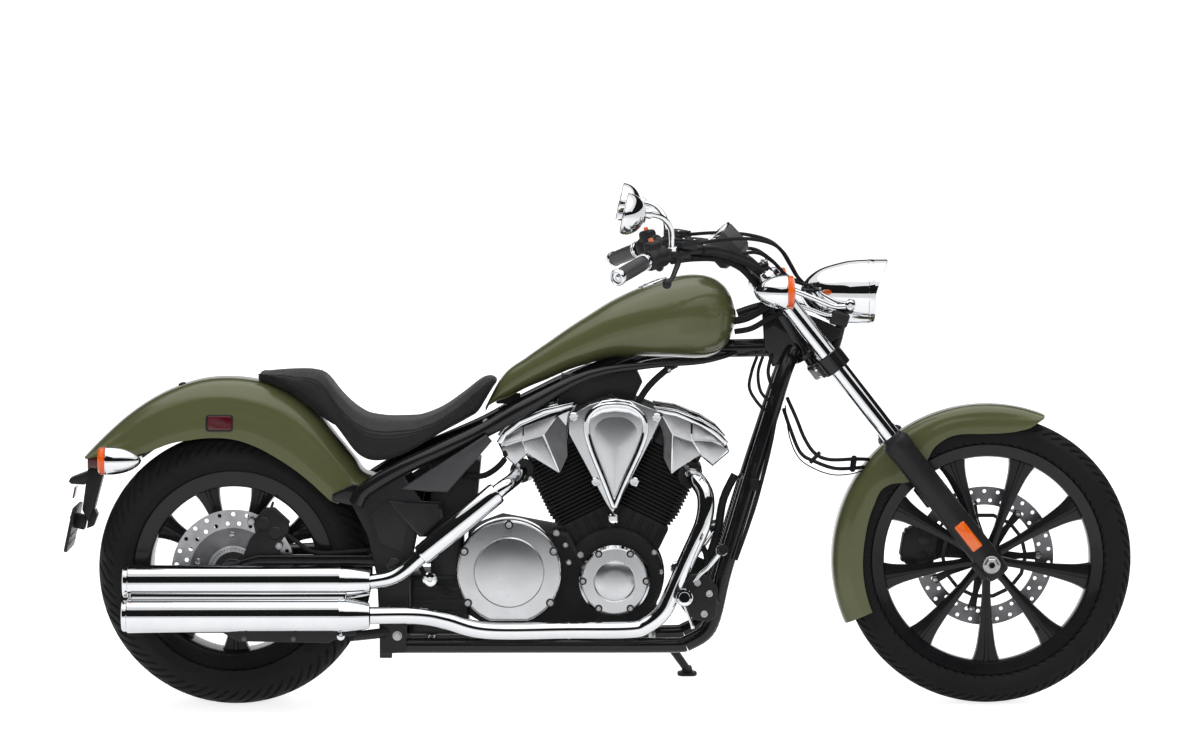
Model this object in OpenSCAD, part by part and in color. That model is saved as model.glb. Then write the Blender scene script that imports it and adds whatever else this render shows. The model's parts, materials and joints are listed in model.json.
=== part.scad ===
// Chopper motorcycle with a V-twin engine, parked on its side stand.
//
// The pieces are drawn upright: X runs forward from the rear axle, Y to the left, Z up from the
// ground under the tyres. place() then leans the whole machine onto its side stand.

/* [Wheels] */
// Distance between the two axles
wheelbase = 1805; // [1750:5:1860]
// Outer radius of the rear tyre
rear_r = 328.6; // [322:0.2:334]
// Width of the rear tyre
rear_w = 200; // [180:2:204]
// Radius of the rear tyre's round crown
rear_crown = 110; // [104:1:130]
// Outer radius of the front tyre
front_r = 347.7; // [342:0.1:352]
// Width of the front tyre
front_w = 90; // [84:2:96]
// Radius of the front tyre's round crown
front_crown = 48; // [47:1:60]
// Number of spokes in each cast wheel
spokes = 9; // [5:1:12]

/* [Steering] */
// Angle of the steering axis from the vertical
rake = 32; // [30:0.5:34]
// Angle of the fork legs from the vertical
fork_rake = 38; // [36:0.5:40]
// Where the steering axis meets the ground, ahead of the rear axle
steer_x = 1897; // [1885:1:1905]
// Distance from the centre plane to each fork leg
fork_y = 105; // [100:1:112]
// Radius of the fork tubes
fork_tube_r = 22.5; // [19:0.5:24.5]
// Radius of the fork sliders
slider_r = 32; // [29:0.5:33]

/* [Frame] */
// Radius of the frame's tubes
frame_r = 19; // [16:0.5:20]
// Distance from the centre plane to the cradle tubes
cradle_y = 122; // [118:1:126]
// Height of the cradle's lower rails
cradle_z = 154; // [148:1:160]

/* [Engine] */
// Place of the crankshaft ahead of the rear axle
crank_x = 908; // [900:1:915]
// Height of the crankshaft
crank_z = 313; // [305:1:320]
// Angle of each cylinder from the vertical
bank = 26; // [22:1:30]
// Number of cooling fins on each cylinder
fins = 13; // [8:1:16]

/* [Body] */
// Half of the fuel tank's greatest width
tank_half = 135; // [120:1:145]
// Half of the rear fender's width
fender_half = 117; // [114:1:122]
// Half of the front fender's width
front_fender_half = 60; // [57:1:66]

/* [Stand] */
// Angle that the machine leans to the left when parked
lean = 7; // [5:0.5:9]
// Sideways reach of the side stand's foot
stand_y = 262; // [235:1:290]

/* [Hidden] */
$fn = 48;
eps = 0.2;

fit = 0.05;                    // running clearance round an axle or pin
stem_fit = 0.3;                // running clearance round the steering stem
left_right = [-1, 1];
paint = [0.36, 0.37, 0.27];
gloss_black = [0.03, 0.03, 0.035];
satin_black = [0.08, 0.08, 0.085];
chrome = [0.83, 0.84, 0.86];
steel = [0.62, 0.63, 0.65];
rubber = [0.05, 0.05, 0.055];
amber = [0.95, 0.45, 0.1];

// How far the parked machine stands off the ground plane, and its slight nose-down pitch: the two
// tyres have crowns of different radius, so a leaning machine sinks a little more in front.
rear_lift = rear_crown * (1 - cos(lean));
front_lift = front_crown * (1 - cos(lean));
pitch = atan((rear_lift - front_lift) / wheelbase);
// Middle of the parked machine's outline, seen from above
outline_mid = [874, 131];

function on_ground(x, y) =
    [x, y, (y * sin(lean) - rear_lift) / cos(lean) + x * sin(pitch)];
function mid(a, b, t) = a + (b - a) * t;
function power(v, e) = sign(v) * pow(abs(v), e);
function mirror_y(p) = [p[0], -p[1], p[2]];

module place() {
    translate([-outline_mid[0], -outline_mid[1], rear_lift])
    rotate([-lean, 0, 0]) rotate([0, pitch, 0]) children();
}

// ---- general shapes -------------------------------------------------------------------------

module rod(a, b, r1, r2 = 0) {
    d = b - a;
    length = norm(d);
    translate(a)
    rotate([0, acos(d[2] / length), atan2(d[1], d[0])])
    cylinder(h = length, r1 = r1, r2 = r2 > 0 ? r2 : r1);
}

// A bent tube through the points, with a ball at each bend
module tube(points, r) {
    for (i = [0 : len(points) - 2]) rod(points[i], points[i + 1], r);
    for (i = [1 : len(points) - 2]) translate(points[i]) sphere(r + 0.05);
}

module both_sides() {
    children();
    mirror([0, 1, 0]) children();
}

// A flat plate drawn in the XZ plane, from y0 to y1
module side_plate(outline, y0, y1) {
    translate([0, y1, 0]) rotate([90, 0, 0]) linear_extrude(y1 - y0) polygon(outline);
}

// A skin through a row of closed rings that have the same number of points, each running
// anticlockwise as seen from the last ring
module loft(rings) {
    n = len(rings[0]);
    m = len(rings);
    sides = [for (i = [0 : m - 2], j = [0 : n - 1]) each [
        [i * n + j, (i + 1) * n + j, i * n + (j + 1) % n],
        [i * n + (j + 1) % n, (i + 1) * n + j, (i + 1) * n + (j + 1) % n]]];
    ends = [[for (j = [0 : n - 1]) j], [for (j = [n - 1 : -1 : 0]) (m - 1) * n + j]];
    polyhedron(points = [for (ring = rings) each ring], faces = concat(sides, ends));
}

// The same for a thin skin, whose rings run out along its outer face and back along its inner
// one, clockwise as seen from the last ring
module shell_loft(rings) {
    n = len(rings[0]);
    m = len(rings);
    half = n / 2;
    sides = [for (i = [0 : m - 2], j = [0 : n - 1]) each [
        [i * n + j, i * n + (j + 1) % n, (i + 1) * n + j],
        [i * n + (j + 1) % n, (i + 1) * n + (j + 1) % n, (i + 1) * n + j]]];
    first = [for (k = [0 : half - 2]) each [[n - 1 - k, k + 1, k], [n - 1 - k, n - 2 - k, k + 1]]];
    last = [for (f = first) [for (v = [f[0], f[2], f[1]]) v + (m - 1) * n]];
    polyhedron(points = [for (ring = rings) each ring], faces = concat(sides, first, last));
}

// A smooth curve through the points
function smooth(p, steps = 5) = concat(
    [for (i = [0 : len(p) - 2], k = [0 : steps - 1])
        let (t = k / steps, a = p[max(i - 1, 0)], b = p[i], c = p[i + 1], d = p[min(i + 2, len(p) - 1)])
        0.5 * (2 * b + (c - a) * t + (2 * a - 5 * b + 4 * c - d) * t * t
               + (3 * b - a - 3 * c + d) * t * t * t)],
    [p[len(p) - 1]]);

// A round section swept along the points, mitred at each bend
module swept(path, r, sides) {
    last = len(path) - 1;
    function along(i) = let (d = path[min(i + 1, last)] - path[max(i - 1, 0)]) d / norm(d);
    function across(i) = let (c = cross([0.3, 0.2, 0.93], along(i))) c / norm(c);
    loft([for (i = [0 : last]) [for (k = [0 : sides - 1]) let (a = k * 360 / sides)
        path[i] + r * (cos(a) * across(i) + sin(a) * cross(along(i), across(i)))]]);
}

// A cable or hose along a smooth curve through the points
module hose(points, r, sides = 10) {
    swept(smooth(points), r, sides);
}

// Local Z points to the left along an axle; a local angle of 90 points straight down
module at_axle(x, z) {
    translate([x, 0, z]) rotate([-90, 0, 0]) children();
}

module at_fork() {
    translate([wheelbase, 0, front_r]) rotate([0, -fork_rake, 0]) children();
}

module at_steering() {
    translate([steer_x - stem_z * tan(rake), 0, stem_z]) rotate([0, -rake, 0]) children();
}

stem_z = 900;                  // height at which the steering frame sits on its axis
head_low = -78;                // ends of the head tube along the steering axis
head_high = 90;
stem_r = 14;

// ---- wheels ---------------------------------------------------------------------------------

rear_bead = 228.6;
front_bead = 268;
rear_rim_half = 70;
front_rim_half = 28;
rear_axle_r = 14;
front_axle_r = 12.5;
axle_bore_r = 8;
rear_hub_half = 75;
front_hub_half = 55;

function tyre_section(r, half, crown, bead, bead_half) =
    let (edge = asin(min(0.92, half / crown)),
         arc = [for (a = [-edge : edge / 8 : edge + 0.01]) [r - crown + crown * cos(a), crown * sin(a)]],
         low = r - crown + crown * cos(edge),
         wall = 13)
    concat(
        arc,
        [[mid(bead, low, 0.72), half * 0.985], [mid(bead, low, 0.34), mid(bead_half, half, 0.7)],
         [bead + 10, bead_half + 2], [bead, bead_half], [bead, bead_half - 12],
         [bead + 14, bead_half - 12], [mid(bead, low, 0.7), half - wall]],
        [for (a = [edge * 0.9 : -edge * 0.3 : -edge * 0.91])
            [r - crown + (crown - wall) * cos(a), (crown - wall) * sin(a)]],
        [[mid(bead, low, 0.7), wall - half], [bead + 14, 12 - bead_half],
         [bead, 12 - bead_half], [bead, -bead_half], [bead + 10, -bead_half - 2],
         [mid(bead, low, 0.34), -mid(bead_half, half, 0.7)], [mid(bead, low, 0.72), -half * 0.985]]);

module tyre(r, half, crown, bead, bead_half) {
    color(rubber) rotate_extrude() polygon(tyre_section(r, half, crown, bead, bead_half));
}

// Barrel, hub and spokes of a cast wheel; opening is the radius inside the barrel
module rim(bead, half, opening, hub_r, hub_half, bore_r) {
    flange = bead + 10;
    color(gloss_black) difference() {
        union() {
            rotate_extrude() polygon([
                [flange, half + 7], [flange, half + 2.2], [bead - 0.2, half], [bead - 2, half * 0.7],
                [opening + 6, half * 0.45], [opening + 6, -half * 0.45], [bead - 2, -half * 0.7],
                [bead - 0.2, -half], [flange, -half - 2.2], [flange, -half - 7],
                [opening, -half - 1], [opening - 3, -half * 0.5],
                [opening - 3, half * 0.5], [opening, half + 1]]);
            translate([0, 0, -hub_half]) cylinder(r = hub_r, h = 2 * hub_half);
            for (i = [0 : spokes - 1]) rotate(90 + i * 360 / spokes) spoke(hub_r, opening, half);
        }
        translate([0, 0, -hub_half - 1]) cylinder(r = bore_r, h = 2 * hub_half + 2);
    }
}

module spoke(hub_r, opening, half) {
    thick = min(30, half * 0.8);
    translate([0, 0, -thick / 2]) linear_extrude(thick) polygon([
        [hub_r - 4, -hub_r * 0.28], [opening * 0.72, -10], [opening * 0.9, -15], [opening, -27],
        [opening, 27], [opening * 0.9, 15], [opening * 0.72, 10], [hub_r - 4, hub_r * 0.28]]);
}

module rear_tyre() {
    at_axle(0, rear_r) tyre(rear_r, rear_w / 2, rear_crown, rear_bead, rear_rim_half);
}

module rear_rim() {
    at_axle(0, rear_r) rim(rear_bead, rear_rim_half, 202, 48, rear_hub_half, rear_axle_r + fit);
}

module front_tyre() {
    at_axle(wheelbase, front_r) tyre(front_r, front_w / 2, front_crown, front_bead, front_rim_half);
}

module front_rim() {
    at_axle(wheelbase, front_r) rim(front_bead, front_rim_half, 250, 36, front_hub_half, front_axle_r + fit);
}

rear_disc_y = -91;
front_disc_y = 60;
disc_thick = 5;

module rear_disc() {
    color(steel) at_axle(0, rear_r) difference() {
        union() {
            translate([0, 0, rear_disc_y]) difference() {
                cylinder(r = 148, h = disc_thick);
                translate([0, 0, -1]) cylinder(r = 104, h = disc_thick + 2);
            }
            for (i = [0 : 4]) rotate(i * 72 + 20) translate([50, -9, rear_disc_y]) cube([58, 18, disc_thick]);
            translate([0, 0, rear_disc_y]) cylinder(r = 56, h = -rear_hub_half - rear_disc_y);
        }
        translate([0, 0, rear_disc_y - 1]) cylinder(r = rear_axle_r + 3, h = 30);
    }
}

module front_disc() {
    color(steel) at_axle(wheelbase, front_r) difference() {
        union() {
            translate([0, 0, front_disc_y]) difference() {
                cylinder(r = 168, h = disc_thick);
                translate([0, 0, -1]) cylinder(r = 130, h = disc_thick + 2);
            }
            for (i = [0 : 6]) rotate(i * 360 / 7) translate([30, -8, front_disc_y]) cube([103, 16, disc_thick]);
            translate([0, 0, front_hub_half]) cylinder(r = 40, h = front_disc_y + disc_thick - front_hub_half);
        }
        translate([0, 0, front_hub_half - 1]) cylinder(r = front_axle_r + 3, h = 30);
    }
}

module rear_axle() {
    color(steel) at_axle(0, rear_r) difference() {
        union() {
            translate([0, 0, -138]) cylinder(r = rear_axle_r, h = 290);
            translate([0, 0, -139]) cylinder(r = 22, h = 12);
        }
        translate([0, 0, -150]) cylinder(r = axle_bore_r, h = 320);
    }
}

module front_axle() {
    color(steel) at_axle(wheelbase, front_r) difference() {
        union() {
            translate([0, 0, -140]) cylinder(r = front_axle_r, h = 280);
            translate([0, 0, -150]) cylinder(r = 20, h = 12);
        }
        translate([0, 0, -160]) cylinder(r = axle_bore_r, h = 320);
    }
}

// ---- frame ----------------------------------------------------------------------------------

backbone_z = 852;

module frame_backbone() {
    color(gloss_black) difference() {
        union() {
            at_steering() translate([0, 0, head_low]) cylinder(r = 32, h = head_high - head_low);
            side_plate([[1340, 824], [1366, 842], [1338, 905], [1298, 954], [1262, 958], [1268, 860], [1288, 812]], -24, 24);
            tube([[1330, 0, backbone_z + 6], [1000, 0, backbone_z], [800, 0, 770], [640, 0, 690]], 22);
            rod([1290, 0, 962], [1204, 0, 938], 11);
        }
        at_steering() translate([0, 0, head_low - 60]) cylinder(r = stem_r + stem_fit, h = head_high - head_low + 120);
    }
}

rail_path = [[1200, 18, 838], [1120, 70, 818], [998, 104, 811], [849, 108, 794], [701, 110, 724],
             [602, 112, 669], [500, 126, 623], [404, 138, 580], [318, 138, 528], [296, 138, 494]];

module frame_rails() {
    color(gloss_black) both_sides() {
        tube(rail_path, frame_r);
        // ear that carries the rear fender
        side_plate([[318, 536], [296, 486], [238, 500], [238, 516], [286, 540]], fender_half + eps, 128);
    }
}

down_path = [[1338, 28, 850], [1316, 56, 806], [1240, 96, 566], [1166, cradle_y, 318], [1144, cradle_y, 222],
             [1122, cradle_y, 180], [1078, cradle_y, cradle_z + 3]];

module frame_downtubes() {
    color(gloss_black) both_sides() tube(down_path, frame_r);
}

module frame_cradle() {
    color(gloss_black) {
        both_sides() tube([[1078, cradle_y, cradle_z + 3], [1040, cradle_y, cradle_z], [352, cradle_y, cradle_z]], frame_r - 1);
        rod([1000, -cradle_y, cradle_z], [1000, cradle_y, cradle_z], 13);
        rod([470, -cradle_y, cradle_z], [470, cradle_y, cradle_z], 13);
        stand_bracket();
    }
}

pivot = [384, 350];

module frame_plates() {
    color(satin_black) {
        both_sides() side_plate([[282, 498], [312, 524], [404, 566], [452, 500], [424, 352], [412, 140],
                                 [352, 136], [344, 320], [322, 420]], 128, 146);
        rod([430, -128, 470], [430, 128, 470], 14);
        rod([392, -128, 180], [392, 128, 180], 14);
    }
}

// ---- bodywork -------------------------------------------------------------------------------

tank_top = [[600, 715], [635, 780], [700, 835], [750, 870], [800, 905], [850, 937], [900, 968], [950, 992],
            [1000, 1012], [1050, 1026], [1100, 1032], [1130, 1029], [1160, 1016], [1180, 996], [1192, 972], [1200, 944]];
tank_low = [[600, 714], [622, 727], [651, 738], [701, 763], [750, 783], [800, 805], [849, 820], [899, 834],
            [948, 837], [1136, 838], [1156, 845], [1176, 862], [1188, 884], [1196, 912], [1200, 930]];
tank_plan = [[600, 24], [640, 40], [700, 56], [800, 82], [900, 106], [1000, 127], [1060, tank_half],
             [1100, 133], [1140, 119], [1170, 97], [1188, 70], [1196, 46], [1200, 26]];
// The tunnel under the tank clears the backbone
tunnel_top = [[780, 700], [820, 812], [900, 846], [1000, 880], [1184, 884], [1190, 860]];
tunnel_half = 27;

function tank_ring(x) =
    let (top = lookup(x, tank_top), low = lookup(x, tank_low), half = lookup(x, tank_plan),
         waist = mid(low, top, 0.42),
         start = acos(pow(min(0.95, tunnel_half / half), 1 / 0.75)),
         tunnel = max(low + 0.5, min(lookup(x, tunnel_top), top - 12)),
         steps = 28)
    concat(
        [for (k = [0 : steps]) let (a = mid(-start, 180 + start, k / steps))
            [x, half * power(cos(a), 0.75),
             waist + (sin(a) > 0 ? top - waist : waist - low) * power(sin(a), 0.8)]],
        [[x, -half * pow(cos(start), 0.75), tunnel], [x, half * pow(cos(start), 0.75), tunnel]]);

module fuel_tank() {
    stations = [for (x = [602 : 22 : 1130]) x];
    color(paint) difference() {
        loft([for (x = concat(stations, [1148, 1164, 1178, 1188, 1195, 1199])) tank_ring(x)]);
        translate([1000, 0, 1012]) rotate([0, -20, 0]) translate([0, 0, -12]) cylinder(r = 34, h = 60);
    }
}

module fuel_cap() {
    color(chrome) translate([1000, 0, 1012]) rotate([0, -20, 0]) translate([0, 0, -12]) {
        cylinder(r = 33.6, h = 8);
        translate([0, 0, 8]) cylinder(r1 = 33.6, r2 = 29, h = 4);
    }
}

seat_top = [[55, 800], [75, 803], [150, 806], [200, 804], [215, 796], [250, 752], [280, 722], [310, 702],
            [350, 692], [400, 690], [450, 694], [500, 714], [550, 749], [600, 787], [620, 795], [632, 784]];
seat_low = [[55, 794], [89, 791], [129, 774], [158, 756], [208, 717], [257, 658], [297, 608], [330, 592],
            [356, 592], [405, 606], [454, 632], [504, 660], [563, 690], [583, 702], [600, 728], [612, 748], [632, 778]];
seat_plan = [[55, 60], [75, 86], [110, 104], [160, 112], [210, 118], [260, 136], [320, 158], [380, 165],
             [440, 158], [500, 134], [560, 104], [610, 78], [632, 52]];

// The middle of the cushion rests on the fender, and ahead of it spans the rails
seat_base = [[56, 780.6], [100, 768], [130, 755], [160, 735], [198, 702], [240, 676], [300, 660], [400, 640],
             [480, 668], [560, 724], [632, 780]];

function seat_ring(x) =
    let (top = lookup(x, seat_top), low = lookup(x, seat_low), half = lookup(x, seat_plan),
         waist = mid(low, top, 0.45),
         base = min(top - 10, lookup(x, seat_base)))
    concat(
        [for (k = [0 : 16]) let (a = k * 180 / 16)
            [x, half * power(cos(a), 0.62), waist + (top - waist) * pow(sin(a), 0.7)]],
        [[x, -half * 0.97, mid(low, waist, 0.4)], [x, -half * 0.86, low], [x, -half * 0.7, low + 1],
         [x, -half * 0.56, base], [x, half * 0.56, base], [x, half * 0.7, low + 1],
         [x, half * 0.86, low], [x, half * 0.97, mid(low, waist, 0.4)]]);

module seat() {
    color(rubber) loft([for (x = concat([56], [for (x = [66 : 18 : 624]) x], [631])) seat_ring(x)]);
}

// Outlines of the rear fender as radii round the rear axle, by angle from straight ahead
fender_top = [[33, 409], [36, 392], [42, 391], [51, 399], [62, 422], [74, 447], [80, 453], [90, 459],
              [99, 461], [109, 457], [124, 449], [133, 446], [142, 448]];
fender_edge = [[33, 300], [36, 290], [40, 286], [48, 284], [58, 286], [70, 294], [80, 306], [90, 318],
               [99, 325], [108, 332], [115, 340], [123, 348], [128, 358], [134, 390], [138, 416], [142, 440]];

// One section of a hollow fender at an angle round its axle
function fender_ring(x, z, angle, top, edge, half, skin, bulge) =
    let (steps = 22,
         outer = [for (k = [0 : steps]) let (a = 180 * k / steps)
             [half * power(cos(a), bulge), edge + (top - edge) * pow(sin(a), 0.7)]],
         inner = [for (k = [steps : -1 : 0]) let (a = 180 * k / steps)
             [(half - skin) * power(cos(a), bulge), edge + (top - skin - edge) * pow(sin(a), 0.7) ]])
    [for (p = concat(outer, inner)) [x + p[1] * cos(angle), p[0], z + p[1] * sin(angle)]];

module rear_fender() {
    color(paint) shell_loft([for (a = [33.2 : 3.4 : 142])
        fender_ring(0, rear_r, a, lookup(a, fender_top), lookup(a, fender_edge), fender_half, 4, 0.5)]);
}

module inner_mudguard() {
    color(satin_black) {
        at_axle(0, rear_r) rotate(-128) rotate_extrude(angle = 108)
        translate([346, -104]) square([5, 208]);
        for (a = [72, 118]) rotate_at_rear(a)
        translate([349, 0, 0]) rotate([0, 90, 0]) cylinder(r = 10, h = lookup(a, fender_top) - 4.5 - 349);
    }
}

module rotate_at_rear(angle) {
    translate([0, 0, rear_r]) rotate([0, -angle, 0]) children();
}

module side_covers() {
    color(satin_black) both_sides() {
        side_plate([[400, 530], [604, 660], [618, 644], [512, 521]], 131, 149);
        side_plate([[440, 511], [498, 506], [504, 456], [465, 417], [445, 417]], 128, 150);
    }
}

tail_x = -352;

module tail_light() {
    color([0.75, 0.05, 0.06]) translate([tail_x, -48, 570]) cube([26, 96, 30]);
}

plate_top = [-384, 476];
plate_tilt = 12;

module plate_bracket() {
    color(satin_black) {
        // arm from the fender's tail down to the plate
        side_plate([[-314, 634], [-325, 630], [-326, 570], [-352, 570], [-366, 470], [-352, 440], [-338, 470],
                    [-314, 560], [-272, 584], [-272, 600], [-314, 596]], -30, 30);
        rod([-280, -116.8, 592], [-280, 116.8, 592], 8);
        side_plate([[-398, 540], [-352, 562], [-345, 548], [-360, 530]], -32, 32);
        translate([plate_top[0], 0, plate_top[1]]) rotate([0, plate_tilt, 0]) difference() {
            translate([0, -92, -104]) cube([8, 184, 108]);
            for (y = [-73, 73]) translate([-1, y, -20]) rotate([0, 90, 0]) cylinder(r = 3.3, h = 10);
        }
        translate([plate_top[0], 0, plate_top[1]]) rotate([0, plate_tilt, 0]) translate([7, -20, -50]) cube([26, 40, 34]);
    }
}

module signal(x0, x1, x2, r) {
    // lens at x0, bullet from x1 to its tip at x2
    length = abs(x2 - x1);
    toward = x2 > x1 ? 1 : -1;
    translate([x1, 0, 0]) rotate([0, 90 * toward, 0]) {
        color(chrome) rotate_extrude() polygon(concat(
            [[0, 0]], [for (a = [0 : 15 : 90]) [r * cos(a), length * sin(a)]]));
        color(amber) translate([0, 0, -abs(x1 - x0)]) cylinder(r1 = r * 0.86, r2 = r - 1, h = abs(x1 - x0));
    }
}

module rear_signals() {
    both_sides() translate([0, 154, 599]) {
        signal(-316, -294, -212, 34);
        color(chrome) rod([-280, -37, -7], [-280, -24, -7], 9);
    }
}

// ---- engine ---------------------------------------------------------------------------------

deck_low = 96;                 // along a cylinder's axis from the crank
deck_high = 165;
head_base = 330;

module at_bank(side) {
    translate([crank_x, 0, crank_z]) rotate([0, bank * side, 0]) children();
}

module crankcase() {
    color(satin_black) {
        at_axle(crank_x, crank_z) translate([0, 0, -96]) cylinder(r = 118, h = 192);
        side_plate([[560, 224], [548, 300], [560, 420], [640, 450], [800, 420], [900, 224], [860, 200], [600, 200]], -100, 100);
        side_plate([[820, 196], [990, 196], [1010, 230], [1010, 300], [820, 300]], -92, 92);
        for (side = left_right) at_bank(side) translate([-68, -74, deck_low]) cube([136, 148, deck_high - deck_low]);
    }
}

module cylinder_block(side) {
    pitch_z = (head_base - deck_high) / fins;
    color(satin_black) at_bank(side) {
        translate([-58, -62, deck_high]) cube([116, 124, head_base - deck_high]);
        for (i = [0 : fins - 1])
        translate([-74, -80, deck_high + pitch_z * i + 3]) cube([148, 160, pitch_z * 0.45]);
    }
}

module rear_cylinder() cylinder_block(-1);
module front_cylinder() cylinder_block(1);

rear_cover = [[630, 635], [681, 689], [740, 714], [808, 731], [800, 699], [787, 635], [793, 571], [765, 556],
              [735, 600], [716, 605], [669, 578], [632, 622]];
front_cover = [[1006, 719], [1057, 709], [1117, 684], [1176, 635], [1181, 615], [1136, 580], [1092, 610],
               [1072, 600], [1045, 559], [1020, 571], [1032, 670]];

module head_covers() {
    color(chrome) {
        both_sides() {
            side_plate(rear_cover, 80 + eps, 116);
            side_plate(front_cover, 80 + eps, 116);
        }
        for (side = left_right) at_bank(side)
        translate([-60, -80 - 2 * eps, head_base + eps]) cube([120, 160 + 4 * eps, 62]);
    }
}

v_cover = [[800, 700], [849, 730], [899, 745], [948, 740], [1010, 715], [1014, 685], [998, 651], [918, 492],
           [904, 470], [889, 492], [800, 660]];

module v_covers() {
    color(chrome) both_sides() side_plate(v_cover, 116 + eps, 134);
}

clutch = [658, 335];

module engine_covers() {
    color(chrome) {
        // clutch cover, with its flat foot, and the round cover over the crankshaft
        difference() {
            at_axle(clutch[0], clutch[1]) translate([0, 0, -178]) {
                translate([0, 0, 8]) cylinder(r = 125, h = 70 - eps);
                cylinder(r1 = 117, r2 = 125, h = 8);
                translate([0, 0, -8]) cylinder(r1 = 76, r2 = 83, h = 8 + eps);
            }
            translate([clutch[0] - 150, -200, 150]) cube([300, 110, 90]);
        }
        at_axle(crank_x, crank_z) {
            translate([0, 0, -166]) cylinder(r = 84, h = 66 - eps);
            translate([0, 0, -174]) cylinder(r1 = 44, r2 = 48, h = 9);
        }
        // primary drive cover on the left
        at_axle(crank_x, crank_z) translate([0, 0, 100 + eps]) cylinder(r = 104, h = 52);
        at_axle(clutch[0], clutch[1]) translate([0, 0, 100 + eps]) cylinder(r = 100, h = 46);
        side_plate([[clutch[0], 250], [clutch[0], 420], [crank_x, 404], [crank_x, 222]], 100 + eps, 140);
    }
}

module radiator() {
    color(satin_black) translate([1196, 0, 420]) rotate([0, 17, 0]) {
        translate([-22, -76, -150]) cube([44, 152, 280]);
        translate([-4, -100, -100]) rotate([-90, 0, 0]) cylinder(r = 9, h = 200);
        translate([-4, -86, 80]) rotate([-90, 0, 0]) cylinder(r = 9, h = 172);
    }
}

front_pipe = [[1082, -84, 566], [1106, -134, 548], [1126, -160, 518], [1118, -172, 452], [1082, -176, 369],
              [1038, -178, 271], [1016, -180, 234], [980, -180, 208], [945, -180, 198], [603, -184, 198],
              [504, -196, 224], [436, -212, 238], [330, -222, 238]];
rear_pipe = [[690, -84, 574], [668, -140, 552], [634, -180, 529], [450, -186, 374], [410, -188, 340],
             [376, -190, 322], [330, -190, 314]];

module front_exhaust() {
    color(chrome) tube(front_pipe, 21);
}

module rear_exhaust() {
    color(chrome) {
        hose(rear_pipe, 18.5, 20);
        // heat shield round the pipe's straight middle
        rod(mid(rear_pipe[2], rear_pipe[3], 0.03), mid(rear_pipe[2], rear_pipe[3], 0.97), 27);
    }
}

muffler_r = 40;
muffler_axes = [[-190, 314], [-222, 238]];

module mufflers() {
    color(chrome) for (m = muffler_axes) translate([0, m[0], m[1]]) rotate([0, 90, 0]) difference() {
        union() {
            translate([0, 0, -240]) cylinder(r = muffler_r, h = 510);
            translate([0, 0, 270]) cylinder(r1 = muffler_r, r2 = 24, h = 60);
            translate([0, 0, -254]) cylinder(r1 = 34, r2 = 37, h = 14);
        }
        translate([0, 0, -255]) cylinder(r = 24, h = 70);
    }
    color(satin_black) {
        translate([-30, -236, 178]) cube([326, 28, 20]);
        rod([286, -214, 188], [362, -146, 188], 12);
    }
}

// ---- rear end -------------------------------------------------------------------------------

module swingarm() {
    color(gloss_black) difference() {
        union() {
            // right arm
            side_plate([[-24, 310], [-24, 347], [60, 372], [340, 372], [400, 366], [400, 334], [340, 342], [60, 342]], -126, -107);
            at_axle(0, rear_r) translate([0, 0, -126]) cylinder(r = 34, h = 19);
            // left arm holds the drive shaft and ends in the final drive
            rod([20, 134, rear_r + 6], [400, 134, 352], 30, 34);
            at_axle(0, rear_r) {
                translate([0, 0, 82]) cylinder(r = 72, h = 70);
                translate([0, 0, 152]) cylinder(r1 = 72, r2 = 46, h = 16);
            }
            at_axle(pivot[0], pivot[1]) translate([0, 0, -152]) cylinder(r = 17, h = 304);
        }
        at_axle(0, rear_r) translate([0, 0, -160]) cylinder(r = rear_axle_r, h = 340);
    }
}

module rear_caliper() {
    color(satin_black) at_axle(0, rear_r) rotate(-50) {
        difference() {
            translate([106, -40, -104]) cube([74, 80, 36]);
            translate([0, 0, rear_disc_y - 5]) cylinder(r = 154, h = disc_thick + 10);
        }
    }
    color(satin_black) translate([20, -107 + eps - 0.4, 356]) side_plate([[0, 0], [90, 0], [96, 60], [50, 84], [20, 50]], 0, 3.4);
}

peg_end = [1070, 306, 290];

module foot_controls() {
    color(satin_black) both_sides() {
        rod([1152, cradle_y + 10, 262], [1113, 189, 262], 11);
        side_plate([[1060, 262], [1092, 226], [1130, 222], [1150, 300], [1112, 334], [1088, 330], [1060, 292]], 182, 194);
        rod([1072, 186, 276], peg_end, 15);
        rod(mid([1072, 186, 276], peg_end, 0.93), mid([1072, 186, 276], peg_end, 1.1), 20);
    }
    color(steel) both_sides() {
        swept([[1099, 187, 316], [1130, 214, 352], [1162, 234, 395]], 7, 12);
        rod([1162, 226, 394], [1162, 292, 402], 13);
    }
}

// ---- steering -------------------------------------------------------------------------------

tube_low = 250;
slider_high = 377;
tube_high = 872;
lower_clamp = 590;
upper_clamp = 825;

module at_both_legs() {
    for (side = left_right) at_fork() translate([0, side * fork_y, 0]) children();
}

// Plate that joins the two legs to the stem, which stands behind them
module bridge(back) {
    polygon([[back, -26], [back, 26], [back / 2, 72], [-16, fork_y], [16, fork_y], [12, 60],
             [4, 0], [12, -60], [16, -fork_y], [-16, -fork_y], [back / 2, -72]]);
}

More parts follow.
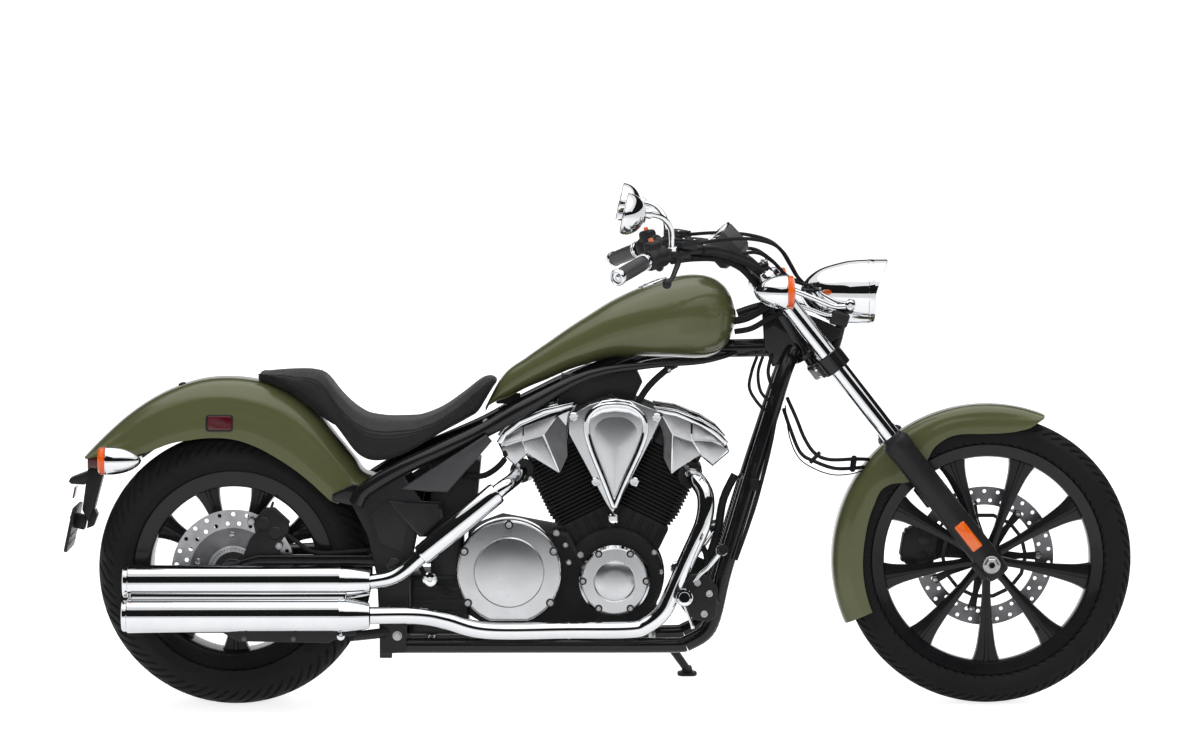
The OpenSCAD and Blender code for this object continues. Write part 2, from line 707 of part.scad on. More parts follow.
module fork_clamps() {
    color(gloss_black) difference() {
        union() {
            at_both_legs() {
                translate([0, 0, lower_clamp]) cylinder(r = 34, h = 45);
                translate([0, 0, upper_clamp]) cylinder(r = 32, h = 32);
            }
            at_fork() {
                translate([0, 0, lower_clamp + 2]) linear_extrude(40) bridge(-60);
                translate([0, 0, upper_clamp + 2]) linear_extrude(28) bridge(-40);
            }
            at_steering() translate([0, 0, head_low - 40]) cylinder(r = stem_r, h = head_high - head_low + 62);
            // headlight bracket, and the posts that hold the handlebar
            rod([1432, 0, 836], [lamp_x - 63, 0, lamp_z - 78], 12);
            both_sides() rod([1284, 42, 1008], [1266, 42, 1026], 11);
        }
        at_both_legs() translate([0, 0, lower_clamp - 1]) cylinder(r = fork_tube_r, h = tube_high - lower_clamp);
    }
}

module fork_tubes() {
    color(chrome) at_both_legs() {
        translate([0, 0, tube_low]) cylinder(r = fork_tube_r, h = tube_high - tube_low);
        translate([0, 0, tube_high]) cylinder(r1 = fork_tube_r, r2 = 16, h = 8);
    }
}

module fork_sliders() {
    color(satin_black) difference() {
        at_both_legs() {
            translate([0, 0, -36]) cylinder(r1 = 26, r2 = slider_r, h = 16);
            translate([0, 0, -20]) cylinder(r = slider_r, h = slider_high + 20);
        }
        at_both_legs() translate([0, 0, tube_low]) cylinder(r = fork_tube_r, h = slider_high);
        at_axle(wheelbase, front_r) translate([0, 0, -160]) cylinder(r = front_axle_r, h = 320);
    }
}

front_fender_r = 374;
front_fender_edge = [[69, 366], [72, 340], [77, 321], [84, 309], [91, 306], [110, 311], [117, 299], [120, 288],
                     [137, 276], [141, 296], [145, 307], [154, 306], [170, 301], [189, 302], [204, 304]];

module front_fender() {
    color(paint) shell_loft([for (a = [69 : 3.38 : 204.3])
        fender_ring(wheelbase, front_r, a, front_fender_r, lookup(a, front_fender_edge), front_fender_half, 3, 0.42)]);
    color(satin_black) both_sides() for (a = [124, 133])
    translate([wheelbase, 0, front_r]) rotate([0, -a, 0]) translate([292, front_fender_half - eps, 0])
    rotate([-90, 0, 0]) cylinder(r = 7, h = 20);
}

module front_caliper() {
    color(satin_black) at_axle(wheelbase, front_r) rotate(-172) {
        difference() {
            translate([118, -48, 41]) cube([86, 96, 44]);
            translate([0, 0, front_disc_y - 5]) cylinder(r = 174, h = disc_thick + 10);
        }
        translate([30, -14, 80]) cube([90, 28, 12]);
    }
}

// The headlight's shell as radius by distance behind the bezel
shell = [[0, 79], [60, 73], [110, 58], [140, 38], [156, 18], [160, 6]];
lamp_x = 1515;
lamp_z = 989;

module headlight() {
    color(chrome) {
        translate([lamp_x, 0, lamp_z]) rotate([0, -90, 0]) rotate_extrude() polygon(concat(
            [[0, 6], [74, 6], [74, 0]], [for (s = shell) [s[1], s[0]]], [[0, 160]]));
        translate([lamp_x, 0, lamp_z]) rotate([0, 90, 0]) rotate_extrude()
        polygon([[74, 0], [79.5, 0], [79.5, 12], [76, 15], [72, 15], [72, 4], [74, 4]]);
        // visor over the lens
        translate([lamp_x, 0, lamp_z]) rotate([90, 0, 90]) rotate([0, 0, 25])
        rotate_extrude(angle = 130) translate([75.6, 0]) square([3, 40]);
        both_sides() rod([lamp_x - 48, 74, lamp_z - 29], [1318, 104, 1004], 6);
    }
}

module headlight_lens() {
    color([0.85, 0.9, 0.95]) translate([lamp_x - 6 + eps, 0, lamp_z]) rotate([0, 90, 0])
    rotate_extrude() polygon(concat([[0, 0]], [for (a = [0 : 15 : 90]) [73.6 * cos(a), 6 + 12 * sin(a)]]));
}

bar_r = 12.7;
bar_path = [[1262, 60, 1034], [1225, 110, 1066], [1146, 190, 1096], [1070, 262, 1099],
            [1020, 305, 1092], [977, 345, 1079]];
grip_end = [915, 443, 1049];

module handlebar() {
    half = concat(bar_path, [grip_end]);
    color(satin_black) {
        swept(concat([for (i = [len(half) - 1 : -1 : 0]) mirror_y(half[i])], half), bar_r, 20);
        both_sides() translate([1262 - 21, 26, 1034 - 20]) cube([42, 30, 40]);
    }
}

module grips() {
    start = bar_path[5];
    color(rubber) both_sides() difference() {
        union() {
            rod(mid(start, grip_end, 0.03), mid(start, grip_end, 0.98), 17.5);
            rod(mid(start, grip_end, 0), mid(start, grip_end, 0.1), 21);
            rod(mid(start, grip_end, 0.96), mid(start, grip_end, 1.1), 19.5, 15);
        }
        rod(mid(start, grip_end, -0.02), grip_end, bar_r);
    }
}

module hand_controls() {
    color(satin_black) both_sides() {
        rod([1022, 303.5, 1092.5], [980, 342, 1080], 25);
        translate([1064, 268, 1108]) rotate([0, 6, -40]) translate([-22, -26, -4]) cube([50, 54, 24]);
        tube([[1046, 290, 1090], [1046, 330, 1062], [1036, 372, 1042], [1026, 404, 1030]], 7);
        translate([1026, 404, 1030]) sphere(11);
        rod([1024, 296, 1096], [1058, 284, 1084], 13);
    }
}

module mirrors() {
    color(chrome) both_sides() {
        tube([[1040, 292, 1104], [1040, 302, 1134], [1034, 320, 1160], [1012, 344, 1184], [980, 366, 1194]], 6);
        translate([951, 384, 1194]) rotate([0, 12, 0]) scale([0.5, 1.12, 0.82]) sphere(r = 58, $fn = 24);
    }
}

gauge = [1150, 0, 1129];

module instrument() {
    color(satin_black) translate(gauge) rotate([0, 137, 0]) {
        cylinder(r = 43, h = 6);
        translate([0, 0, 6]) cylinder(r1 = 46, r2 = 47, h = 40);
        translate([0, 0, 46]) cylinder(r1 = 47, r2 = 30, h = 34);
    }
    color(satin_black) rod([1208, 0, 1068], [1258, 0, 1040], 14);
}

module front_signals() {
    both_sides() translate([0, 200, 1000]) {
        signal(1333, 1312, 1236, 41);
        color(chrome) rod([1290, -64, 12], [1290, -38, 6], 10);
    }
}

module bar_cables() {
    color(rubber) both_sides() {
        hose([[1072, 268, 1116], [1100, 262, 1122], [1160, 200, 1128], [1235, 130, 1130], [1295, 80, 1110], [1332, 50, 1074], [1352, 32, 1040], [1380, 20, 1026]], 5.5);
        hose([[1030, 300, 1094], [1090, 254, 1084], [1160, 170, 1078], [1240, 104, 1098], [1296, 70, 1070], [1344, 52, 1024], [1396, 40, 1012]], 5.5);
    }
}

hose_paths = [
    [[1320.5, -66, 742], [1342, -78, 694], [1362, -92, 645], [1386, -104, 611], [1420, -112, 597], [1484, -76, 595], [1518, -30, 590]],
    [[1312, -70, 716], [1328, -80, 668], [1352, -96, 612], [1386, -112, 592], [1430, -118, 577], [1474, -80, 573], [1506, -34, 572]]
];

module front_hoses() {
    color(rubber) for (path = hose_paths) hose(path, 4.5);
}

// ---- side stand -----------------------------------------------------------------------------

stand_pin = [1010, 172, 168];
stand_foot = on_ground(1092, stand_y);
stowed_toward = [-0.99, 0.05, 0.13];
stand_out = (stand_foot - stand_pin) / norm(stand_foot - stand_pin);
stand_axis = cross(stand_out, stowed_toward) / norm(cross(stand_out, stowed_toward));

module at_stand_pin() {
    translate(stand_pin)
    rotate([0, acos(stand_axis[2]), atan2(stand_axis[1], stand_axis[0])]) children();
}

module stand_bracket() {
    at_stand_pin() {
        translate([0, 0, -24]) cylinder(r = 8, h = 48);
        for (z = [-24, 14]) translate([0, 0, z]) cylinder(r = 17, h = 10);
    }
    difference() {
        rod([stand_pin[0] + 8, cradle_y + 6, cradle_z], [stand_pin[0] + 2, stand_pin[1] - 14, stand_pin[2]], 15);
        at_stand_pin() translate([0, 0, -14]) cylinder(r = 26, h = 28);
    }
}

module side_stand() {
    foot_top = stand_foot + [0, -8, 14];
    color(gloss_black) difference() {
        union() {
            at_stand_pin() translate([0, 0, -13]) cylinder(r = 18, h = 26);
            rod(mid(stand_pin, foot_top, 0.07), foot_top, 12, 10);
            translate(stand_foot) rotate([lean, 0, 0]) {
                cylinder(r = 24, h = 6);
                cylinder(r1 = 15, r2 = 12, h = 16);
            }
        }
        at_stand_pin() translate([0, 0, -14]) cylinder(r = 8 + fit, h = 28);
    }
}

// ---- the machine ----------------------------------------------------------------------------

place() {
    frame_backbone();
    frame_rails();
    frame_downtubes();
    frame_cradle();
    frame_plates();
    fuel_tank();
    fuel_cap();
    seat();
    rear_fender();
    inner_mudguard();
    side_covers();
    tail_light();
    plate_bracket();
    rear_signals();
    crankcase();
    rear_cylinder();
    front_cylinder();
    head_covers();
    v_covers();
    engine_covers();
    radiator();
    front_exhaust();
    rear_exhaust();
    mufflers();
    swingarm();
    rear_axle();
    rear_caliper();
    foot_controls();
    rear_tyre();
    rear_rim();
    rear_disc();
    fork_clamps();
    fork_tubes();
    fork_sliders();
    front_axle();
    front_fender();
    front_caliper();
    headlight();
    headlight_lens();
    handlebar();
    grips();
    hand_controls();
    mirrors();
    instrument();
    front_signals();
    bar_cables();
    front_hoses();
    front_tyre();
    front_rim();
    front_disc();
    side_stand();
}
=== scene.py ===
"""Looks of a long, low chopper motorcycle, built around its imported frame.

Every shape is worked out in the machine's own upright axes, in millimetres: X forward from the rear
axle, Y to the left, Z up from the ground under the tyres. Stance turns them into the leaning row frame.
"""

from __future__ import annotations

import json
import logging
from dataclasses import dataclass
from enum import Enum
from typing import Callable, Iterable, Sequence

import bmesh
import bpy
import numpy as np
from mathutils import Matrix, Vector

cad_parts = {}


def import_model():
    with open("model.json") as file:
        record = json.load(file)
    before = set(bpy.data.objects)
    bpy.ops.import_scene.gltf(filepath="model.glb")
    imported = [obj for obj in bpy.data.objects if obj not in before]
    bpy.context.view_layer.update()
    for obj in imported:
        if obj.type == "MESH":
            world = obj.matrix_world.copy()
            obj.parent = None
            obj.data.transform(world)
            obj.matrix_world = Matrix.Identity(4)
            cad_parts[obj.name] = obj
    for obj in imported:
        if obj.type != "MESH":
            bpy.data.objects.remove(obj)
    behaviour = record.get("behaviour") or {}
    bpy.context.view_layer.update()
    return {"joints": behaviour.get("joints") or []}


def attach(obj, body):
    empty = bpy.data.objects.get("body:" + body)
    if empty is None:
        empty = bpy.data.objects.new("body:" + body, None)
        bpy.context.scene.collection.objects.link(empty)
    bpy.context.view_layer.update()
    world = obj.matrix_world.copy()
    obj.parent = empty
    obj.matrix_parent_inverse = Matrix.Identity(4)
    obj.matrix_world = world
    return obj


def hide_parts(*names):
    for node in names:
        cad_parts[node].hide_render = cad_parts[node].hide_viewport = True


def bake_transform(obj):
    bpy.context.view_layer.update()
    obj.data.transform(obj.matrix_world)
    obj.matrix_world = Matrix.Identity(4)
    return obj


LOG = logging.getLogger("chopper")
TAU = 2 * np.pi
Array = np.ndarray
Colour = tuple[float, float, float]


# ---- places ---------------------------------------------------------------------------------


@dataclass(frozen=True)
class Stance:
    """Where the upright machine's axes lie in the row frame.

    Attributes:
        origin: ground point under the rear axle, in metres.
        axes: rows for forward, left and up, as unit vectors.
    """

    origin: Array
    axes: Array

    @classmethod
    def from_joints(cls, joints: Sequence[dict], wheelbase: float, rise: float, rear_r: float) -> Stance:
        """Reads the machine's axes from its two axles.

        Args:
            joints: the record's joints.
            wheelbase: distance between the axles along X, in millimetres.
            rise: how much higher the front axle is, in millimetres.
            rear_r: height of the rear axle, in millimetres.

        Returns:
            The stance of the parked machine.
        """
        by_name = {j["name"]: j for j in joints}
        rear = np.array(by_name["rear_wheel_spin"]["pos_m"], float)
        front = np.array(by_name["front_wheel_spin"]["pos_m"], float)
        left = np.array(by_name["rear_wheel_spin"]["axis"], float)
        left /= np.linalg.norm(left)
        line = (front - rear) / np.linalg.norm(front - rear)
        over = np.cross(line, left)
        tilt = np.arctan2(rise, wheelbase)
        forward = np.cos(tilt) * line - np.sin(tilt) * over
        up = np.sin(tilt) * line + np.cos(tilt) * over
        return cls(rear - up * rear_r / 1000, np.stack([forward, left, up]))

    def place(self, points: Array) -> Array:
        """Turns machine millimetres into row-frame metres."""
        return self.origin + np.asarray(points, float) / 1000 @ self.axes


@dataclass(frozen=True)
class Seat3:
    """A local set of axes: points there are (across, along, out).

    Attributes:
        origin: where it sits, in millimetres.
        axes: rows for its three directions, as unit vectors.
    """

    origin: Array
    axes: Array

    def at(self, local: Array) -> Array:
        """Turns local points into machine points."""
        return self.origin + np.asarray(local, float) @ self.axes

    def moved(self, *offset: float) -> Seat3:
        """The same axes, moved by a local offset."""
        return Seat3(self.at(np.array(offset, float)), self.axes)

    def turned(self, degrees: float) -> Seat3:
        """The same place, turned about its third direction."""
        a = np.radians(degrees)
        across, along, out = self.axes
        return Seat3(self.origin, np.stack(
            [np.cos(a) * across + np.sin(a) * along, np.cos(a) * along - np.sin(a) * across, out]))


def sideways(x: float, z: float, y: float = 0.0) -> Seat3:
    """Axes of an axle: forward, up and left."""
    return Seat3(np.array([x, y, z], float), np.array([[1.0, 0, 0], [0, 0, 1.0], [0, 1.0, 0]]))


SIDE = sideways(0, 0)


def rightward(x: float, z: float, y: float) -> Seat3:
    """Axes of something that faces right: forward, up and right."""
    return Seat3(np.array([x, y, z], float), np.array([[1.0, 0, 0], [0, 0, 1.0], [0, -1.0, 0]]))


def looking(origin: Sequence[float], direction: Sequence[float], hint: Sequence[float] = (0, 1, 0)) -> Seat3:
    """Axes whose third direction points a given way.

    Args:
        origin: where they sit.
        direction: the way that the third direction points.
        hint: a vector that the second direction stays close to.

    Returns:
        The axes.
    """
    out = np.array(direction, float) / np.linalg.norm(direction)
    across = np.cross(np.array(hint, float), out)
    across /= np.linalg.norm(across)
    return Seat3(np.array(origin, float), np.stack([across, np.cross(out, across), out]))


# ---- shapes ---------------------------------------------------------------------------------


@dataclass(frozen=True)
class Form:
    """A mesh before it is placed: its points, and blocks of faces with the same number of corners."""

    points: Array
    faces: tuple[Array, ...]

    def __add__(self, other: Form) -> Form:
        """Both forms as one."""
        return joined([self, other])

    def mirrored(self) -> Form:
        """The form on the machine's other side."""
        return Form(self.points * (1, -1, 1), tuple(f[:, ::-1] for f in self.faces))

    def both(self) -> Form:
        """The form on both sides."""
        return joined([self, self.mirrored()])

    def bent(self, change: Callable[[Array], Array]) -> Form:
        """The form with its points changed by a function."""
        return Form(change(self.points), self.faces)


def joined(forms: Iterable[Form]) -> Form:
    """Several forms as one.

    Args:
        forms: what to join.

    Returns:
        A form with all their points and faces.
    """
    points, faces, start = [], [], 0
    for form in forms:
        points.append(form.points)
        faces += [f + start for f in form.faces]
        start += len(form.points)
    return Form(np.concatenate(points), tuple(faces))


def grid(points: Array, wrap: bool = True, closed: bool = False, caps: bool = True) -> Form:
    """A skin over a grid of points: row i, column j joins to its neighbours.

    Args:
        points: array of rows, columns and 3.
        wrap: whether the last column joins the first.
        closed: whether the last row joins the first.
        caps: whether the first and last row are filled, when the columns wrap.

    Returns:
        The skin.
    """
    rows, columns = points.shape[:2]
    i = np.arange(rows if closed else rows - 1)[:, None]
    j = np.arange(columns if wrap else columns - 1)[None]
    below, beside = (i + 1) % rows, (j + 1) % columns
    quads = np.stack([i * columns + j, i * columns + beside, below * columns + beside, below * columns + j], -1)
    faces = [quads.reshape(-1, 4)]
    if wrap and caps and not closed:
        ring = np.arange(columns)[None]
        faces += [ring[:, ::-1], ring + (rows - 1) * columns]
    return Form(points.reshape(-1, 3), tuple(faces))


def revolve(profile: Sequence[Sequence[float]], seat: Seat3, steps: int = 48, closed: bool = False,
            start: float = 0.0, sweep: float = TAU) -> Form:
    """A profile of radius and height turned about the third axis of its seat.

    Args:
        profile: rows of radius and height.
        seat: the axes it turns in.
        steps: points round the turn.
        closed: whether the profile's end joins its start.
        start: angle where a part turn begins, in radians.
        sweep: angle of the turn, in radians.

    Returns:
        The turned skin.
    """
    p = np.asarray(profile, float)
    whole = sweep > TAU - 1e-6
    turn = start + np.linspace(0, sweep, steps, endpoint=not whole)
    local = np.stack([p[:, :1] * np.cos(turn), p[:, :1] * np.sin(turn), np.repeat(p[:, 1:2], steps, 1)], -1)
    if whole:
        return grid(seat.at(local), True, closed)
    return grid(seat.at(local.transpose(1, 0, 2)), True, False)


def curve(points: Sequence[Sequence[float]], steps: int = 8, closed: bool = False) -> Array:
    """A smooth curve through points: on each span, a cubic whose slope at a point follows its neighbours.

    Args:
        points: what it passes through.
        steps: pieces in each span.
        closed: whether it returns to its start.

    Returns:
        The curve's points.
    """
    p = np.asarray(points, float)
    q = np.concatenate([p[-1:], p, p[:2]]) if closed else np.concatenate([p[:1], p, p[-1:]])
    t = (np.arange(steps) / steps)[None, :, None]
    a, b, c, d = (q[k:len(q) - 3 + k, None] for k in range(4))
    spans = 0.5 * (2 * b + (c - a) * t + (2 * a - 5 * b + 4 * c - d) * t**2 + (3 * b - a - 3 * c + d) * t**3)
    line = spans.reshape(-1, p.shape[1])
    return line if closed else np.concatenate([line, p[-1:]])


def lookup(table: Sequence[Sequence[float]], x: Array) -> Array:
    """A smooth value from a table of knots: a cubic between each two knots, flat beyond them.

    Args:
        table: rows of place and value.
        x: where to read it.

    Returns:
        The values there.
    """
    knots = np.asarray(table, float)
    places, values = knots[:, 0], knots[:, 1]
    slope = np.gradient(values, places)
    i = np.clip(np.searchsorted(places, x) - 1, 0, len(places) - 2)
    step = places[i + 1] - places[i]
    u = np.clip((x - places[i]) / step, 0, 1)
    return ((1 + 2 * u) * (1 - u)**2 * values[i] + u * (1 - u)**2 * step * slope[i]
            + u * u * (3 - 2 * u) * values[i + 1] - u * u * (1 - u) * step * slope[i + 1])


def tube(path: Sequence[Sequence[float]], radius: float | Array, sides: int = 16, steps: int = 6,
         hint: Sequence[float] = (0.3, 0.2, 0.93), flat: float = 1.0, loop: bool = False) -> Form:
    """A round section carried along a smooth path, square to it everywhere.

    Args:
        path: points that the centre passes through; steps of 0 take them as they are.
        radius: one radius, or one for each point of the finished path.
        sides: points round the section.
        steps: smooth pieces between two points.
        hint: a direction that the path never runs along.
        flat: height of the section over its width.
        loop: whether the path closes on itself.

    Returns:
        The tube, with closed ends.
    """
    line = curve(path, steps, loop) if steps else np.asarray(path, float)
    if loop:
        along = np.roll(line, -1, 0) - np.roll(line, 1, 0)
    else:
        along = np.gradient(line, axis=0)
    along /= np.linalg.norm(along, axis=1, keepdims=True)
    across = np.cross(np.asarray(hint, float), along)
    across /= np.linalg.norm(across, axis=1, keepdims=True)
    over = np.cross(along, across)
    r = np.broadcast_to(np.asarray(radius, float), (len(line),)) if np.ndim(radius) == 0 else np.interp(
        np.linspace(0, 1, len(line)), np.linspace(0, 1, len(radius)), radius)
    a = np.arange(sides) * TAU / sides
    skin = line[:, None] + r[:, None, None] * (
        np.cos(a)[None, :, None] * across[:, None] + flat * np.sin(a)[None, :, None] * over[:, None])
    return grid(skin, True, loop)


def rod(a: Sequence[float], b: Sequence[float], radius: float, far: float | None = None, sides: int = 24,
        soft: float = 0.0) -> Form:
    """A straight round bar from a to b, with its ends' edges rounded by soft."""
    start, end = np.asarray(a, float), np.asarray(b, float)
    length = float(np.linalg.norm(end - start))
    far = radius if far is None else far
    hint = (0, 1, 0) if abs((end - start)[1]) < 0.9 * length else (1, 0, 0)
    profile = [[0, 0], [radius - soft, 0], [radius - soft * 0.3, soft * 0.3], [radius, soft],
               [far, length - soft], [far - soft * 0.3, length - soft * 0.3], [far - soft, length], [0, length]]
    return revolve(profile, looking(start, end - start, hint), sides)


def inset(outline: Array, by: float) -> Array:
    """An outline moved inwards: each corner moves along the bisector of its two edges.

    Args:
        outline: rows of two coordinates, anticlockwise.
        by: how far its edges move.

    Returns:
        The smaller outline.
    """
    ahead = np.roll(outline, -1, 0) - outline
    ahead /= np.maximum(np.linalg.norm(ahead, axis=1, keepdims=True), 1e-9)
    normal = np.stack([ahead[:, 1], -ahead[:, 0]], 1)
    before = np.roll(normal, 1, 0)
    share = np.maximum(1 + (normal * before).sum(1, keepdims=True), 0.35)
    return outline - by * (normal + before) / share


def slab(outline: Sequence[Sequence[float]], near: float, far: float, seat: Seat3, edge: float = 2.0,
         crown: float = 0.0, smooth: int = 0, draft: float = 0.0) -> Form:
    """A plate with rounded edges: the outline carried from near to far, drawn in round each face.

    Args:
        outline: rows of two coordinates in its seat.
        near: height of its back along the third direction.
        far: height of its face.
        seat: the axes it is drawn in.
        edge: radius of its rounded edges.
        crown: how far the middle of the face stands out.
        smooth: pieces between corners when the outline is a smooth curve, or 0 for straight edges.
        draft: how much smaller the face is than the back.

    Returns:
        The closed plate.
    """
    flat = curve(outline, smooth, True) if smooth else np.asarray(outline, float)
    if np.sum(flat[:, 0] * np.roll(flat[:, 1], -1) - np.roll(flat[:, 0], -1) * flat[:, 1]) < 0:
        flat = flat[::-1]
    edge = min(edge, abs(far - near) * 0.49)
    way = np.sign(far - near)
    turns = np.radians([0, 30, 60, 90])
    rings = [(edge * (1 - np.sin(t)), near + way * edge * (1 - np.cos(t))) for t in turns]
    rings += [(draft + edge * (1 - np.cos(t)), far - way * edge * (1 - np.sin(t))) for t in turns]
    skin = [np.column_stack([inset(flat, i), np.full(len(flat), h)]) for i, h in rings]
    if crown:
        face = skin[-1][:, :2]
        middle = face.mean(0)
        for share in (0.86, 0.68, 0.48, 0.28, 0.08):
            height = far + way * crown * (1 - share**2)
            skin.append(np.column_stack([middle + share * (face - middle), np.full(len(face), height)]))
    return grid(seat.at(np.stack(skin)))


def copies(form: Form, seats: Sequence[Seat3]) -> Form:
    """One local form set down in several seats."""
    return joined(Form(seat.at(form.points), form.faces) for seat in seats)


LOCAL = Seat3(np.zeros(3), np.eye(3))


def circle_of(count: int, radius: float, seat: Seat3, start: float = 0.0, height: float = 0.0) -> list[Seat3]:
    """Seats spread round a circle, each with its first direction pointing outwards.

    Args:
        count: how many.
        radius: radius of the circle.
        seat: the axes that the circle lies in.
        start: angle of the first, in degrees.
        height: how far out along the third direction they sit.

    Returns:
        The seats.
    """
    return [seat.turned(start + 360 * k / count).moved(radius, 0, height) for k in range(count)]


class Head(Enum):
    """Kinds of bolt head, as the number of sides of the socket or hexagon."""

    HEX = 6
    CAP = 12
    DOME = 16


def bolt(radius: float, height: float, head: Head = Head.CAP) -> Form:
    """A bolt head: a hexagon, a socket cap with a hollow middle, or a low dome."""
    if head is Head.HEX:
        profile = [[0, 0], [radius, 0], [radius, height * 0.85], [radius * 0.86, height], [0, height]]
        washer = revolve([[0, -0.2], [radius * 1.25, -0.2], [radius * 1.25, 1], [0, 1]], LOCAL, 16)
        return revolve(profile, LOCAL, 6) + washer
    if head is Head.DOME:
        a = np.linspace(0, np.pi / 2, 6)
        profile = np.column_stack([np.append(0, radius * np.cos(a)), np.append(0, height * np.sin(a))])
        return revolve(profile, LOCAL, 16)
    return revolve([[0, 0], [radius, 0], [radius, height * 0.8], [radius * 0.9, height], [radius * 0.55, height],
                    [radius * 0.5, height * 0.4], [0, height * 0.4]], LOCAL, 12)


def rounded(a: float, b: float, r: float, steps: int = 4) -> Array:
    """Outline of a rectangle with half sides a and b, and corners of radius r."""
    t = np.linspace(0, np.pi / 2, steps)
    quarter = np.stack([np.cos(t), np.sin(t)], 1) * r
    spin = np.array([[0.0, 1.0], [-1.0, 0.0]])
    corners = [(a - r, b - r), (-(a - r), b - r), (-(a - r), -(b - r)), (a - r, -(b - r))]
    rows = []
    for centre in corners:
        rows.append(np.array(centre) + quarter)
        quarter = quarter @ spin
    return np.concatenate(rows)


def box(size: Sequence[float], seat: Seat3, edge: float = 2.0, crown: float = 0.0) -> Form:
    """A block centred in its seat, with rounded corners and edges."""
    a, b, c = (0.5 * s for s in size)
    return slab(rounded(a, b, min(edge, a * 0.98, b * 0.98)), -c, c, seat, min(edge, c), crown)


def drilled_ring(inner: float, outer: float, rows: int, count: int, hole: float, near: float, far: float,
                 seat: Seat3) -> Form:
    """A flat ring full of round holes: a grid of polar cells, each joined to a circle at its middle.

    Args:
        inner: inner radius.
        outer: outer radius.
        rows: rows of holes; every other row is half a cell round.
        count: holes in each row.
        hole: radius of a hole.
        near: height of its back.
        far: height of its face.
        seat: the axes it lies in.

    Returns:
        The closed ring.
    """
    side, one = np.linspace(-1, 1, 5)[:-1], np.ones(4)
    square = np.concatenate([np.stack(p, 1) for p in ((side, -one), (one, side), (-side, one), (-one, -side))])
    round_ = square / np.linalg.norm(square, axis=1, keepdims=True)
    half_turn, half_row = np.pi / count, (outer - inner) / rows / 2
    k, i = np.meshgrid(np.arange(rows), np.arange(count), indexing="ij")
    middle_r = (inner + half_row * (2 * k + 1))[..., None]
    middle_a = (half_turn * (2 * i + k % 2))[..., None]
    edge_r, edge_a = middle_r + half_row * square[:, 1], middle_a + half_turn * square[:, 0]
    hole_r, hole_a = middle_r + hole * round_[:, 1], middle_a + hole * round_[:, 0] / middle_r
    forms = []
    rings = [(edge_r, edge_a, near), (hole_r, hole_a, near), (hole_r, hole_a, far), (edge_r, edge_a, far)]
    cells = np.stack([np.stack([r * np.cos(a), r * np.sin(a), np.full(r.shape, h)], -1) for r, a, h in rings], 2)
    for row in cells.reshape(-1, 4, 16, 3):
        forms.append(grid(seat.at(row), True, False, False))
    for radius in (inner, outer):
        a = np.arange(count * 4) * TAU / (count * 4)
        wall = np.stack([np.stack([radius * np.cos(a), radius * np.sin(a), np.full(len(a), h)], -1)
                         for h in (near, far)])
        forms.append(grid(seat.at(wall), True, False, False))
    return joined(forms)


WHEELBASE, REAR_R, FRONT_R = 1805.0, 328.6, 347.7
STEER_SLOPE, STEER_FOOT = float(np.tan(np.radians(32.0))), 1897.0


# ---- finishes -------------------------------------------------------------------------------


class Relief(Enum):
    """Fine surface texture of a finish, named by the node group that makes it."""

    SMOOTH = ""
    PEEL = "Paint peel"
    CAST = "Cast skin"
    BRUSHED = "Brushed lines"
    LEATHER = "Leather grain"
    RUBBER = "Rubber skin"


@dataclass(frozen=True)
class Finish:
    """One finish of the machine.

    Attributes:
        name: name of its material.
        slot: the record's material slot; not used.
        colour: main colour.
        accent: colour that it drifts towards.
        rough: lowest and highest roughness.
        metallic: share of bare metal.
        coat: weight of a clear coat.
        coat_rough: roughness of that coat.
        relief: its fine texture.
        size: texture cells in a metre.
        depth: height of the texture, in metres.
        drift: patches of slow variation in a metre.
        dust: how much pale dust lies on its upper faces.
        worn: colour of its rubbed edges, or None.
        clear: how much light passes through it.
        sheen: weight of its soft sheen.
        specular: how strongly it mirrors under the coat, where 0.5 is plain lacquer.
    """

    name: str
    slot: str
    colour: Colour
    accent: Colour
    rough: tuple[float, float] = (0.3, 0.4)
    metallic: float = 0.0
    coat: float = 0.0
    coat_rough: float = 0.04
    relief: Relief = Relief.SMOOTH
    size: float = 900.0
    depth: float = 0.0002
    drift: float = 7.0
    dust: float = 0.0
    worn: Colour | None = None
    clear: float = 0.0
    sheen: float = 0.0
    specular: float = 0.5


OLIVE = Finish("olive_paint", "paint", (0.083, 0.087, 0.035), (0.094, 0.098, 0.041), (0.26, 0.32), 0.1, 0.42, 0.05,
               Relief.PEEL, 260, 0.00004, 3, 0.03, specular=0.25)
GLOSS = Finish("gloss_black", "frame_black", (0.004, 0.004, 0.005), (0.008, 0.008, 0.009), (0.2, 0.3), 0.0, 0.4, 0.05,
               Relief.PEEL, 300, 0.00004, 9, 0.03, specular=0.15)
WHEEL = Finish("wheel_black", "rim_black", (0.004, 0.004, 0.005), (0.008, 0.008, 0.009), (0.26, 0.36), 0.0, 0.3, 0.1,
               Relief.PEEL, 240, 0.00005, 9, 0.04, specular=0.15)
SATIN = Finish("satin_black", "satin_black", (0.008, 0.008, 0.009), (0.015, 0.015, 0.016), (0.38, 0.5), 0.0, 0.08,
               0.2, Relief.CAST, 900, 0.00008, 12, 0.05, (0.07, 0.07, 0.07), specular=0.2)
ENGINE = Finish("engine_black", "engine_black", (0.006, 0.006, 0.006), (0.013, 0.0125, 0.012), (0.45, 0.62), 0.05,
                0.0, 0.2, Relief.CAST, 700, 0.00018, 14, 0.06, (0.1, 0.1, 0.1), specular=0.15)
CHROME = Finish("chrome", "chrome", (0.74, 0.75, 0.76), (0.69, 0.70, 0.72), (0.025, 0.06), 1.0, 0.0, 0.0,
                Relief.SMOOTH, 900, 0.0, 16)
